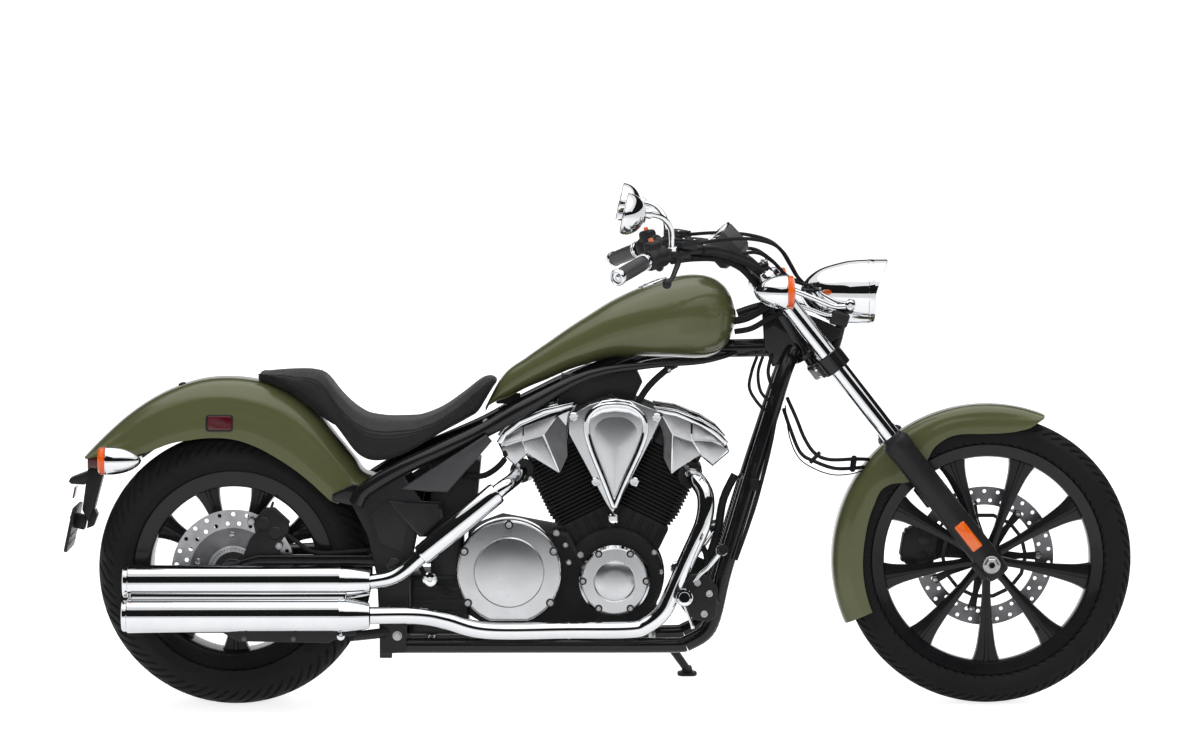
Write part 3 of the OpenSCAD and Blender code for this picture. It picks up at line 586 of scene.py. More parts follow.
SATIN_CHROME = Finish("satin_chrome", "chrome", (0.56, 0.57, 0.58), (0.52, 0.53, 0.54), (0.26, 0.32), 1.0, 0.0, 0.0,
                      Relief.BRUSHED, 1400, 0.00003, 20)
STEEL = Finish("brushed_steel", "steel", (0.5, 0.5, 0.51), (0.4, 0.4, 0.41), (0.26, 0.38), 1.0, 0.0, 0.0,
               Relief.BRUSHED, 1200, 0.00005, 25, 0.03)
DISC_STEEL = Finish("disc_steel", "steel", (0.2, 0.2, 0.21), (0.15, 0.15, 0.155), (0.3, 0.42), 1.0, 0.0, 0.0,
                    Relief.BRUSHED, 1200, 0.00005, 25, 0.02)
DARK_GREY = Finish("dark_grey_satin", "satin_black", (0.035, 0.035, 0.037), (0.05, 0.05, 0.052), (0.34, 0.44), 0.0,
                   0.1, 0.2, Relief.CAST, 900, 0.00006, 10, 0.04, specular=0.3)
GREY_METAL = Finish("grey_metal", "steel", (0.16, 0.16, 0.165), (0.11, 0.11, 0.115), (0.35, 0.5), 0.9, 0.0, 0.0,
                    Relief.CAST, 900, 0.0001, 20, 0.04)
TYRE = Finish("tyre_rubber", "tyre", (0.008, 0.008, 0.008), (0.013, 0.013, 0.013), (0.6, 0.75), 0.0, 0.0, 0.2,
              Relief.RUBBER, 1500, 0.00012, 9, 0.05, (0.02, 0.02, 0.02), specular=0.12)
RUBBER = Finish("grip_rubber", "rubber", (0.007, 0.007, 0.008), (0.013, 0.013, 0.014), (0.5, 0.62), 0.0, 0.0, 0.2,
                Relief.RUBBER, 1800, 0.00008, 20, 0.04, specular=0.15)
LEATHER = Finish("seat_leather", "leather", (0.008, 0.0082, 0.009), (0.014, 0.014, 0.015), (0.42, 0.56), 0.0, 0.0,
                 0.3, Relief.LEATHER, 420, 0.0005, 8, 0.06, sheen=0.06, specular=0.25)
RED_LENS = Finish("red_lens", "red_lens", (0.1, 0.002, 0.007), (0.075, 0.002, 0.006), (0.1, 0.16), 0.0, 0.3, 0.05,
                  Relief.SMOOTH, drift=30, clear=0.25)
AMBER = Finish("amber_lens", "clear_glass", (1.0, 0.17, 0.006), (0.95, 0.13, 0.004), (0.08, 0.14), 0.0, 0.6, 0.03,
               Relief.SMOOTH, drift=30, clear=0.2)
GLASS = Finish("clear_glass", "clear_glass", (0.92, 0.95, 0.97), (0.9, 0.94, 0.96), (0.02, 0.04), clear=1.0)


class Paintshop:
    """Builds the shared node groups once, and a material for each finish."""

    def __init__(self) -> None:
        """Makes the groups."""
        self.made: dict[str, bpy.types.Material] = {}
        self.slow = self._slow_variation()
        self.dust = self._dust()
        self.wear = self._edge_wear()
        self.reliefs = {
            Relief.PEEL: self._relief("Paint peel", 1.0, 0.0, (1, 1, 1), 2.0),
            Relief.CAST: self._relief("Cast skin", 1.0, 0.5, (1, 1, 1), 6.0),
            Relief.BRUSHED: self._relief("Brushed lines", 1.0, 0.0, (0.06, 1, 1), 4.0),
            Relief.LEATHER: self._relief("Leather grain", 0.25, 1.0, (1, 1, 1), 3.0),
            Relief.RUBBER: self._relief("Rubber skin", 1.0, 0.25, (1, 1, 1), 3.0),
        }

    @staticmethod
    def _group(name: str, inputs: Sequence[tuple[str, str, object]], outputs: Sequence[tuple[str, str]]
               ) -> tuple[bpy.types.NodeTree, bpy.types.Node, bpy.types.Node]:
        """Starts a node group.

        Args:
            name: its name.
            inputs: name, socket kind and default of each input.
            outputs: name and socket kind of each output.

        Returns:
            The group, its input node and its output node.
        """
        tree = bpy.data.node_groups.new(name, "ShaderNodeTree")
        for label, kind, value in inputs:
            tree.interface.new_socket(label, in_out="INPUT", socket_type="NodeSocket" + kind).default_value = value
        for label, kind in outputs:
            tree.interface.new_socket(label, in_out="OUTPUT", socket_type="NodeSocket" + kind)
        return tree, tree.nodes.new("NodeGroupInput"), tree.nodes.new("NodeGroupOutput")

    @staticmethod
    def _add(tree: bpy.types.NodeTree, kind: str, values: dict | None = None, **settings: object) -> bpy.types.Node:
        """Adds a node, with its settings, and its inputs set to a value or joined to a socket.

        Args:
            tree: where it goes.
            kind: the node's type, without its Shader prefix.
            values: input name or number, and its value or the socket that feeds it.
            settings: attributes of the node.

        Returns:
            The node.
        """
        node = tree.nodes.new(kind if kind.startswith("Node") else "ShaderNode" + kind)
        for key, value in settings.items():
            setattr(node, key, value)
        for key, value in (values or {}).items():
            if isinstance(value, bpy.types.NodeSocket):
                tree.links.new(value, node.inputs[key])
            else:
                node.inputs[key].default_value = value
        return node

    def _slow_variation(self) -> bpy.types.NodeTree:
        """Group: soft patches that drift between two colours and two roughnesses."""
        tree, into, out = self._group("Slow variation", [
            ("Colour", "Color", (1, 1, 1, 1)), ("Accent", "Color", (1, 1, 1, 1)), ("Patches", "Float", 6.0),
            ("Low", "Float", 0.3), ("High", "Float", 0.4)], [("Colour", "Color"), ("Roughness", "Float")])
        place = self._add(tree, "TexCoord")
        patches = self._add(tree, "TexNoise", {"Vector": place.outputs["Object"], "Scale": into.outputs["Patches"],
                                               "Detail": 5.0, "Roughness": 0.6})
        spread = self._add(tree, "MapRange", {"Value": patches.outputs[0], "From Min": 0.32, "From Max": 0.68})
        tint = self._add(tree, "Mix", {"Factor": spread.outputs[0], 6: into.outputs["Colour"],
                                       7: into.outputs["Accent"]}, data_type="RGBA")
        rough = self._add(tree, "MapRange", {"Value": patches.outputs[0], "From Min": 0.3, "From Max": 0.7,
                                             "To Min": into.outputs["Low"], "To Max": into.outputs["High"]})
        tree.links.new(tint.outputs[2], out.inputs["Colour"])
        tree.links.new(rough.outputs[0], out.inputs["Roughness"])
        return tree

    def _dust(self) -> bpy.types.NodeTree:
        """Group: a thin pale film on faces that look up, broken by fine noise."""
        tree, into, out = self._group("Dust film", [
            ("Colour", "Color", (1, 1, 1, 1)), ("Roughness", "Float", 0.4), ("Amount", "Float", 0.1)],
            [("Colour", "Color"), ("Roughness", "Float")])
        place, facing = self._add(tree, "TexCoord"), self._add(tree, "NewGeometry")
        parts = self._add(tree, "SeparateXYZ", {0: facing.outputs["Normal"]})
        speck = self._add(tree, "TexNoise", {"Vector": place.outputs["Object"], "Scale": 55.0, "Detail": 8.0})
        upward = self._add(tree, "MapRange", {"Value": parts.outputs["Z"], "From Min": 0.1, "From Max": 1.0})
        share = self._add(tree, "Math", {0: upward.outputs[0], 1: speck.outputs[0]}, operation="MULTIPLY")
        film = self._add(tree, "Math", {0: share.outputs[0], 1: into.outputs["Amount"]}, operation="MULTIPLY")
        tint = self._add(tree, "Mix", {"Factor": film.outputs[0], 6: into.outputs["Colour"],
                                       7: (0.3, 0.29, 0.27, 1)}, data_type="RGBA")
        rough = self._add(tree, "Math", {0: film.outputs[0], 1: into.outputs["Roughness"]}, operation="ADD")
        tree.links.new(tint.outputs[2], out.inputs["Colour"])
        tree.links.new(rough.outputs[0], out.inputs["Roughness"])
        return tree

    def _edge_wear(self) -> bpy.types.NodeTree:
        """Group: a second colour where the surface bends outwards, broken by noise."""
        tree, into, out = self._group("Edge wear", [
            ("Colour", "Color", (1, 1, 1, 1)), ("Worn", "Color", (1, 1, 1, 1))], [("Colour", "Color")])
        place, shape = self._add(tree, "TexCoord"), self._add(tree, "NewGeometry")
        break_up = self._add(tree, "TexNoise", {"Vector": place.outputs["Object"], "Scale": 160.0, "Detail": 4.0})
        sharp = self._add(tree, "MapRange", {"Value": shape.outputs["Pointiness"], "From Min": 0.53,
                                             "From Max": 0.66, "To Max": 0.6})
        mask = self._add(tree, "Math", {0: sharp.outputs[0], 1: break_up.outputs[0]}, operation="MULTIPLY")
        tint = self._add(tree, "Mix", {"Factor": mask.outputs[0], 6: into.outputs["Colour"],
                                       7: into.outputs["Worn"]}, data_type="RGBA")
        tree.links.new(tint.outputs[2], out.inputs["Colour"])
        return tree

    def _relief(self, name: str, noise: float, cells: float, stretch: Sequence[float], detail: float
                ) -> bpy.types.NodeTree:
        """Group: height of a fine texture, from noise and from the edges of cells.

        Args:
            name: the group's name.
            noise: share of noise in the height.
            cells: share of cell edges in the height.
            stretch: scale of the texture along each axis.
            detail: octaves of the noise.

        Returns:
            The group.
        """
        tree, into, out = self._group(name, [("Size", "Float", 500.0)], [("Height", "Float")])
        place = self._add(tree, "TexCoord")
        turned = self._add(tree, "Mapping", {"Vector": place.outputs["Object"], "Scale": tuple(stretch)})
        rough = self._add(tree, "TexNoise", {"Vector": turned.outputs[0], "Scale": into.outputs["Size"],
                                             "Detail": detail, "Roughness": 0.55})
        cell = self._add(tree, "TexVoronoi", {"Vector": turned.outputs[0], "Scale": into.outputs["Size"]},
                         feature="DISTANCE_TO_EDGE")
        crease = self._add(tree, "MapRange", {"Value": cell.outputs[0], "From Max": 0.22, "To Max": cells})
        high = self._add(tree, "Math", {0: rough.outputs[0], 1: noise, 2: crease.outputs[0]},
                         operation="MULTIPLY_ADD")
        tree.links.new(high.outputs[0], out.inputs["Height"])
        return tree

    def material(self, finish: Finish) -> bpy.types.Material:
        """The material of a finish, made on first use.

        Args:
            finish: which finish.

        Returns:
            Its material.
        """
        if finish.name in self.made:
            return self.made[finish.name]
        made = bpy.data.materials.new(finish.name)
        made.use_nodes = True
        tree = made.node_tree
        tree.nodes.clear()
        shader = self._add(tree, "BsdfPrincipled", {
            "Metallic": finish.metallic, "Coat Weight": finish.coat, "Coat Roughness": finish.coat_rough,
            "Transmission Weight": finish.clear, "Sheen Weight": finish.sheen, "Sheen Roughness": 0.4, "IOR": 1.5,
            "Specular IOR Level": finish.specular})
        slow = self._add(tree, "Group", node_tree=self.slow)
        for label, value in (("Colour", (*finish.colour, 1)), ("Accent", (*finish.accent, 1)),
                             ("Patches", finish.drift), ("Low", finish.rough[0]), ("High", finish.rough[1])):
            slow.inputs[label].default_value = value
        colour, rough = slow.outputs["Colour"], slow.outputs["Roughness"]
        if finish.worn:
            wear = self._add(tree, "Group", node_tree=self.wear)
            wear.inputs["Worn"].default_value = (*finish.worn, 1)
            tree.links.new(colour, wear.inputs["Colour"])
            colour = wear.outputs["Colour"]
        if finish.dust:
            dust = self._add(tree, "Group", node_tree=self.dust)
            dust.inputs["Amount"].default_value = finish.dust
            tree.links.new(colour, dust.inputs["Colour"])
            tree.links.new(rough, dust.inputs["Roughness"])
            colour, rough = dust.outputs["Colour"], dust.outputs["Roughness"]
        tree.links.new(colour, shader.inputs["Base Color"])
        tree.links.new(rough, shader.inputs["Roughness"])
        if finish.relief is not Relief.SMOOTH:
            relief = self._add(tree, "Group", node_tree=self.reliefs[finish.relief])
            relief.inputs["Size"].default_value = finish.size
            bump = self._add(tree, "Bump", {"Strength": 1.0, "Distance": finish.depth,
                                            "Height": relief.outputs["Height"]})
            tree.links.new(bump.outputs[0], shader.inputs["Normal"])
        end = self._add(tree, "OutputMaterial")
        tree.links.new(shader.outputs[0], end.inputs["Surface"])
        self.made[finish.name] = made
        return made


# ---- putting pieces together ----------------------------------------------------------------


def placed(name: str, data: bpy.types.ID) -> bpy.types.Object:
    """An object in the scene for a mesh, a light or a camera."""
    made = bpy.data.objects.new(name, data)
    bpy.context.scene.collection.objects.link(made)
    return made


class Workshop:
    """Turns forms into finished pieces that ride on the machine's bodies."""

    def __init__(self, stance: Stance) -> None:
        """Keeps the stance, the paintshop and the body that pieces ride on.

        Args:
            stance: where the machine's axes lie.
        """
        self.stance, self.paintshop, self.body = stance, Paintshop(), "chassis"

    def mesh(self, name: str, form: Form, finish: Finish, sharp: float = 32.0) -> bpy.types.Object:
        """Makes an object from a form: places it, joins its seams and turns its faces outwards.

        Args:
            name: the piece's name.
            form: its shape in machine millimetres.
            finish: its finish.
            sharp: angle past which an edge stays hard, in degrees.

        Returns:
            The object, at the origin.
        """
        points = self.stance.place(form.points)
        sizes = np.concatenate([np.full(len(f), f.shape[1]) for f in form.faces])
        corners = np.concatenate([f.reshape(-1) for f in form.faces])
        data = bpy.data.meshes.new(name)
        data.vertices.add(len(points))
        data.vertices.foreach_set("co", points.astype(np.float32).ravel())
        data.loops.add(len(corners))
        data.loops.foreach_set("vertex_index", corners.astype(np.int32))
        data.polygons.add(len(sizes))
        data.polygons.foreach_set("loop_start", (np.cumsum(sizes) - sizes).astype(np.int32))
        data.update(calc_edges=True)
        data.validate()
        work = bmesh.new()
        work.from_mesh(data)
        bmesh.ops.remove_doubles(work, verts=work.verts, dist=2e-6)
        bmesh.ops.recalc_face_normals(work, faces=work.faces)
        work.to_mesh(data)
        work.free()
        data.shade_smooth()
        data.set_sharp_from_angle(angle=np.radians(sharp))
        piece = placed(name, data)
        piece.data.materials.append(self.paintshop.material(finish))
        return piece

    def add(self, name: str, form: Form | Iterable[Form], finish: Finish, replaces: Sequence[str] = (),
            slot: str = "", sharp: float = 32.0, body: str = "") -> bpy.types.Object:
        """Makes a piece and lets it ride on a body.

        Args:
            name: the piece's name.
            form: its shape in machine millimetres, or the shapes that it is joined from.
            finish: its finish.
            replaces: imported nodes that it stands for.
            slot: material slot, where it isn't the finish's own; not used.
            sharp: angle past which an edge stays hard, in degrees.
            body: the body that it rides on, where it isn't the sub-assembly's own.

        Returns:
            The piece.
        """
        body = body or self.body
        piece = self.mesh(name, form if isinstance(form, Form) else joined(form), finish, sharp)
        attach(piece, body)
        self.declare(piece, finish, replaces, slot)
        LOG.info("%s rides on %s, %s, %d faces", name, body, finish.name, len(piece.data.polygons))
        return piece

    @staticmethod
    def declare(piece: bpy.types.Object, finish: Finish, replaces: Sequence[str] = (), slot: str = "") -> None:
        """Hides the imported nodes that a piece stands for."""
        if replaces:
            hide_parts(*replaces)


# ---- studio ---------------------------------------------------------------------------------


class Studio:
    """Floor, lights, backdrop and camera."""

    CAMERA = (780.0, -11200.0, 1590.0)
    TARGET = (875.0, 0.0, 809.0)
    LENS = 140.4
    WORLD_LIGHT = 0.55
    FLOOR_HALF = 40.0
    FLOOR_TINT = 0.6
    FLOOR_GLOW = 0.76
    CARD_DISTANCE = 15.0
    CARD_HEIGHTS = (2.5, 17.5)

    def __init__(self, stance: Stance) -> None:
        """Keeps the stance."""
        self.stance = stance

    def build(self) -> None:
        """Sets up everything that isn't the machine."""
        scene = bpy.context.scene
        scene.view_settings.view_transform = "Standard"
        self._world(scene)
        self._floor()
        self._lights()
        self._flag()
        self._camera(scene)

    @staticmethod
    def _seen_directly(tree: bpy.types.NodeTree) -> bpy.types.NodeSocket:
        """A mask of what the camera sees directly, through glass and, a little darker, in a mirror finish."""
        path = tree.nodes.new("ShaderNodeLightPath")
        total = path.outputs["Is Camera Ray"]
        for name, share in (("Is Glossy Ray", 0.8), ("Is Transmission Ray", 1.0)):
            add = tree.nodes.new("ShaderNodeMath")
            add.operation, add.use_clamp = "MULTIPLY_ADD", True
            tree.links.new(path.outputs[name], add.inputs[0])
            add.inputs[1].default_value = share
            tree.links.new(total, add.inputs[2])
            total = add.outputs[0]
        return total

    def _world(self, scene: bpy.types.Scene) -> None:
        """White backdrop; its light on the machine is a soft grey."""
        world = bpy.data.worlds.new("studio")
        world.use_nodes = True
        tree = world.node_tree
        tree.nodes.clear()
        seen, light = tree.nodes.new("ShaderNodeBackground"), tree.nodes.new("ShaderNodeBackground")
        seen.inputs["Color"].default_value, seen.inputs["Strength"].default_value = (1, 1, 1, 1), 1.0
        light.inputs["Color"].default_value = (0.95, 0.97, 1, 1)
        light.inputs["Strength"].default_value = self.WORLD_LIGHT
        mix, out = tree.nodes.new("ShaderNodeMixShader"), tree.nodes.new("ShaderNodeOutputWorld")
        tree.links.new(self._seen_directly(tree), mix.inputs[0])
        tree.links.new(light.outputs[0], mix.inputs[1])
        tree.links.new(seen.outputs[0], mix.inputs[2])
        tree.links.new(mix.outputs[0], out.inputs["Surface"])
        scene.world = world

    def _floor(self) -> None:
        """A wide pale floor that shows white and keeps the machine's shadow."""
        half = self.FLOOR_HALF
        data = bpy.data.meshes.new("floor")
        data.from_pydata([(-half, -half, 0), (half, -half, 0), (half, half, 0), (-half, half, 0)], [], [(0, 1, 2, 3)])
        floor = placed("floor", data)
        made = bpy.data.materials.new("floor_white")
        made.use_nodes = True
        tree = made.node_tree
        tree.nodes.clear()
        shader = tree.nodes.new("ShaderNodeBsdfDiffuse")
        shader.inputs["Color"].default_value = (*[self.FLOOR_TINT] * 3, 1)
        glow = tree.nodes.new("ShaderNodeEmission")
        strength = tree.nodes.new("ShaderNodeMath")
        strength.operation = "MULTIPLY"
        strength.inputs[1].default_value = self.FLOOR_GLOW
        tree.links.new(self._seen_directly(tree), strength.inputs[0])
        tree.links.new(strength.outputs[0], glow.inputs["Strength"])
        add, out = tree.nodes.new("ShaderNodeAddShader"), tree.nodes.new("ShaderNodeOutputMaterial")
        tree.links.new(shader.outputs[0], add.inputs[0])
        tree.links.new(glow.outputs[0], add.inputs[1])
        tree.links.new(add.outputs[0], out.inputs["Surface"])
        data.materials.append(made)

    def _lights(self) -> None:
        """Soft boxes overhead, in front and behind."""
        boxes = (
            ("overhead", (0.2, 0.1, 3.2), (0, 0, 0.4), (7.0, 5.0), 115.0),
            ("front", (-1.2, -5.5, 2.2), (0, 0, 0.5), (4.0, 1.2), 110.0),
            ("rear_left", (0.4, 4.5, 2.8), (0, 0, 0.5), (4.0, 1.2), 50.0),
        )
        for name, place, target, size, power in boxes:
            data = bpy.data.lights.new(name, "AREA")
            data.shape, data.size, data.size_y, data.energy = "RECTANGLE", *size, power
            light = placed(name, data)
            light.location = place
            light.rotation_euler = (Vector(target) - Vector(place)).to_track_quat("-Z", "Y").to_euler()
            light.visible_glossy = name == "overhead"

    def _flag(self) -> None:
        """A dark card all round, above eye level, that only shows in polished finishes."""
        turn = np.arange(64) * TAU / 64
        round_ = self.CARD_DISTANCE * np.array([np.cos(turn), np.sin(turn)])
        rows = [np.stack([*round_, np.full(64, h)], -1) for h in self.CARD_HEIGHTS]
        form = grid(np.stack(rows), True, False, False)
        data = bpy.data.meshes.new("dark_card")
        data.from_pydata(form.points.tolist(), [], [tuple(f) for f in form.faces[0].tolist()])
        card = placed("dark_card", data)
        made = bpy.data.materials.new("dark_card")
        made.use_nodes = True
        shader = made.node_tree.nodes["Principled BSDF"]
        shader.inputs["Base Color"].default_value = (0.01, 0.01, 0.01, 1)
        shader.inputs["Roughness"].default_value = 1.0
        data.materials.append(made)
        card.visible_camera = card.visible_diffuse = card.visible_shadow = card.visible_transmission = False

    def _camera(self, scene: bpy.types.Scene) -> None:
        """Long lens from the right, level with the machine's own axes."""
        eye, target = self.stance.place(np.array([self.CAMERA, self.TARGET]))
        back = (eye - target) / np.linalg.norm(eye - target)
        across = np.cross(self.stance.axes[2], back)
        across /= np.linalg.norm(across)
        turn = Matrix(np.stack([across, np.cross(back, across), back], 1).tolist()).to_4x4()
        data = bpy.data.cameras.new("camera")
        data.lens, data.sensor_width = self.LENS, 36.0
        data.clip_end = 200.0
        camera = placed("camera", data)
        camera.matrix_world = Matrix.Translation(eye) @ turn
        scene.camera = camera


# ---- wheels ---------------------------------------------------------------------------------


@dataclass(frozen=True)
class Wheel:
    """One cast wheel with its tyre, sizes in millimetres."""

    name: str
    body: str
    x: float
    r: float
    half: float
    crown: float
    bead: float
    bead_half: float
    opening: float
    hub_r: float
    hub_half: float
    bore_r: float
    grooves: int
    sweep: float
    spokes: int = 9

    def seat(self) -> Seat3:
        """Axes at the middle of the wheel."""
        return sideways(self.x, self.r)

    def tyre(self) -> Form:
        """Carcass whose tread has curved grooves.

        The section is an arc over the crown, then the wall down to the bead; each point moves towards the
        middle of the section where the groove pattern, a comb of curved lines round the wheel, is deep.
        """
        edge = np.arcsin(min(0.92, self.half / self.crown))
        arc = np.linspace(-edge, edge, 23)
        low = self.r - self.crown + self.crown * np.cos(edge)
        wall = np.array([
            [self.bead + 0.72 * (low - self.bead), self.half * 0.985],
            [self.bead + 0.34 * (low - self.bead), self.bead_half + 0.7 * (self.half - self.bead_half)],
            [self.bead + 11, self.bead_half + 3], [self.bead, self.bead_half]])
        top = np.column_stack([self.r - self.crown + self.crown * np.cos(arc), self.crown * np.sin(arc)])
        outer = curve(np.concatenate([(wall * (1, -1))[::-1], top, wall]), 3)
        inner = np.array([[self.bead, self.bead_half - 12], [self.r - 20, self.half * 0.5],
                          [self.r - 20, -self.half * 0.5], [self.bead, 12 - self.bead_half]])
        section = np.concatenate([outer, inner])
        steps = 576
        turn = np.arange(steps)[:, None] * TAU / steps
        share = np.abs(section[:, 1]) / self.half
        depth = np.zeros((steps, len(section)))
        for side, shift in ((1, 0.0), (-1, 0.5)):
            for offset, first, last in ((0.0, 0.1, 0.9), (0.5, 0.5, 0.9)):
                phase = self.grooves * turn / TAU + shift + offset - self.sweep * share**1.4
                away = np.abs(phase - np.round(phase)) * TAU * self.r / self.grooves
                line = np.clip((4.6 - away) / 2.4, 0, 1)
                within = np.clip((share - first) * 14, 0, 1) * np.clip((last - share) * 14, 0, 1)
                depth += line * within * (section[:, 1] * side > 0) * 5.0
        depth[:, len(outer):] = 0
        rim_guard = np.exp(-((section[:, 0] - self.bead - 14) / 3)**2) * 1.6
        rim_guard[len(outer):] = 0
        centre = np.array([self.bead + 0.45 * (self.r - self.bead), 0])
        way = section - centre
        way /= np.linalg.norm(way, axis=1, keepdims=True)
        moved = section[None] - (depth - rim_guard)[..., None] * way[None]
        local = np.stack([moved[..., 0] * np.cos(turn), moved[..., 0] * np.sin(turn), moved[..., 1]], -1)
        return grid(self.seat().at(local), True, True)

    def rim(self) -> Form:
        """Barrel with rolled flanges, hub, and tapered spokes with a ridge down the middle."""
        flange, half, opening = self.bead + 10, self.bead_half, self.opening
        side = np.array([
            [self.bead - 2, half * 0.7], [self.bead, half - 1], [flange - 2, half + 1.2], [flange, half + 3],
            [flange + 0.6, half + 5], [flange - 0.8, half + 6.8], [flange - 4, half + 6], [opening + 14, half + 2.5],
            [opening + 5, half + 1.5], [opening + 1, half], [opening - 1.5, half - 5], [opening - 3, half * 0.5]])
        barrel = np.concatenate([[[opening + 6, 0], [opening + 6, half * 0.45]], side,
                                 (side * (1, -1))[::-1], [[opening + 6, -half * 0.45]]])
        hub_h, hub = self.hub_half, self.hub_r
        bore = self.bore_r
        core = [[bore, hub_h], [hub * 0.62, hub_h], [hub * 0.66, hub_h - 2], [hub * 0.66, hub_h - 6],
                [hub * 0.9, hub_h - 9], [hub, hub_h - 14], [hub * 0.94, hub_h * 0.45], [hub * 0.94, -hub_h * 0.45],
                [hub, 14 - hub_h], [hub * 0.9, 9 - hub_h], [hub * 0.66, 6 - hub_h], [hub * 0.66, 2 - hub_h],
                [hub * 0.62, -hub_h], [bore, -hub_h]]
        seat = self.seat()
        return joined([revolve(barrel, seat, 144, True), revolve(core, seat, 64, True)]
                      + [self.spoke(seat.turned(-90 + 360 * k / self.spokes)) for k in range(self.spokes)])

    def spoke(self, seat: Seat3) -> Form:
        """One spoke along its seat's first direction: a ridged section that widens towards the rim."""
        r = np.linspace(self.hub_r * 0.8, self.opening + 3, 22)
        width = lookup([[self.hub_r * 0.8, self.hub_r * 0.34], [self.opening * 0.3, 10.5], [self.opening * 0.42, 12],
                        [self.opening * 0.55, 14.5], [self.opening * 0.72, 19], [self.opening * 0.86, 24.5],
                        [self.opening * 0.95, 31], [self.opening + 3, 38]], r)
        thick = min(16.0, self.bead_half * 0.46) * np.interp(r, [self.hub_r, self.opening * 0.75, self.opening],
                                                             [1.25, 1.0, 1.15])
        u = np.array([-1, -0.9, -0.45, -0.2, -0.13, 0.13, 0.2, 0.45, 0.9, 1])
        v = np.array([0, 0.62, 0.74, 0.78, 0.98, 0.98, 0.78, 0.74, 0.62, 0])
        section = np.concatenate([np.column_stack([u, v]), np.column_stack([u[::-1], -v[::-1]])[1:-1]])
        local = np.stack([np.repeat(r[:, None], len(section), 1), width[:, None] * section[:, 0],
                          thick[:, None] * section[:, 1]], -1)
        return grid(seat.at(local))

    def build(self, shop: Workshop) -> None:
        """Makes the tyre and the rim."""
        shop.add(f"{self.name}_tyre_tread", self.tyre(), TYRE, [f"{self.name}_tyre"], sharp=28)
        shop.add(f"{self.name}_wheel", self.rim(), WHEEL, [f"{self.name}_rim"], sharp=38)
        angle = np.radians(-54)
        stem = self.opening - 4
        foot = self.seat().at([stem * np.cos(angle), stem * np.sin(angle), 0])
        tip = self.seat().at([(stem - 34) * np.cos(angle), (stem - 34) * np.sin(angle), -6])
        valve = rod(foot, tip, 4.2, 4.2, 12, 1) + rod(tip, tip + (tip - foot) * 0.25, 5.2, 5.2, 12, 1)
        shop.add(f"{self.name}_valve", valve, RUBBER)


@dataclass(frozen=True)
class Discs:
    """Drilled brake discs with their carriers and bolts."""

    body: str = "rear_wheel"

    def build(self, shop: Workshop) -> None:
        """Makes both discs."""
        rear = sideways(0, REAR_R, -86)
        steel = drilled_ring(104, 147.5, 2, 26, 5.0, 0, -5, rear)
        shop.add("rear_disc_ring", steel, STEEL, ["rear_disc"])
        plate = revolve([[62, -1], [105, -1], [105, -4.4], [62, -4.4]], rear, 72, True)
        shop.add("rear_disc_plate", plate, DISC_STEEL)
        carrier = revolve([[18, 10], [58, 10], [58, -1], [60, -5], [56, -7], [18, -7]], rear, 64, True)
        tone = drilled_ring(47, 62, 1, 48, 1.5, -5.5, -8.5, rear)
        heads = copies(bolt(5, 5), [s for k in range(5)
                                              for s in [flipped(rear.turned(20 + 72 * k).moved(52, 0, -7))]])
        pins = copies(bolt(7.5, 3, Head.DOME),
                      [flipped(rear.turned(20 + 72 * k).moved(88, 0, -4.4)) for k in range(5)])
        shop.add("rear_disc_carrier", carrier, SATIN)
        shop.add("rear_tone_ring", tone, STEEL)
        shop.add("rear_disc_bolts", heads + pins, STEEL)
        front = sideways(WHEELBASE, FRONT_R, 60)
        ring = drilled_ring(124, 168, 2, 30, 4.6, 0, 5, front)
        shop.add("front_disc_ring", ring, DISC_STEEL, ["front_disc"], body="front_wheel")
        arms = [slab([[26, -15], [90, -7], [134, -11], [136, 0], [134, 11], [90, 7], [26, 15]], -2, 4.4,
                     front.turned(360 / 7 * k), 1.4) for k in range(7)]
        core = revolve([[15, -5], [40, -5], [40, 3], [37, 5], [15, 5]], front, 64, True)
        inner = revolve([[96, -1.6], [105, -1.6], [105, 4], [96, 4]], front, 14, True)
        shop.add("front_disc_spider", [core, inner] + arms, SATIN, body="front_wheel")
        buttons = [copies(bolt(8, 3, Head.DOME), circle_of(7, 131, front, 0, 4)),
                   copies(bolt(8, 3, Head.DOME), [flipped(s) for s in circle_of(7, 131, front, 0, -1.8)]),
                   copies(bolt(5.5, 4), circle_of(5, 29, front, 12, 4.8))]
        shop.add("front_disc_buttons", buttons, STEEL, body="front_wheel")


def flipped(seat: Seat3) -> Seat3:
    """The same seat, facing the other way."""
    return Seat3(seat.origin, seat.axes * np.array([[1.0], [1.0], [-1.0]]))


# ---- frame and bodywork ---------------------------------------------------------------------


def path_both(path: Sequence[Sequence[float]], radius: float | Array, steps: int = 4, sides: int = 20) -> Form:
    """A bent tube and its twin on the other side."""
    return tube(path, radius, sides, steps).both()


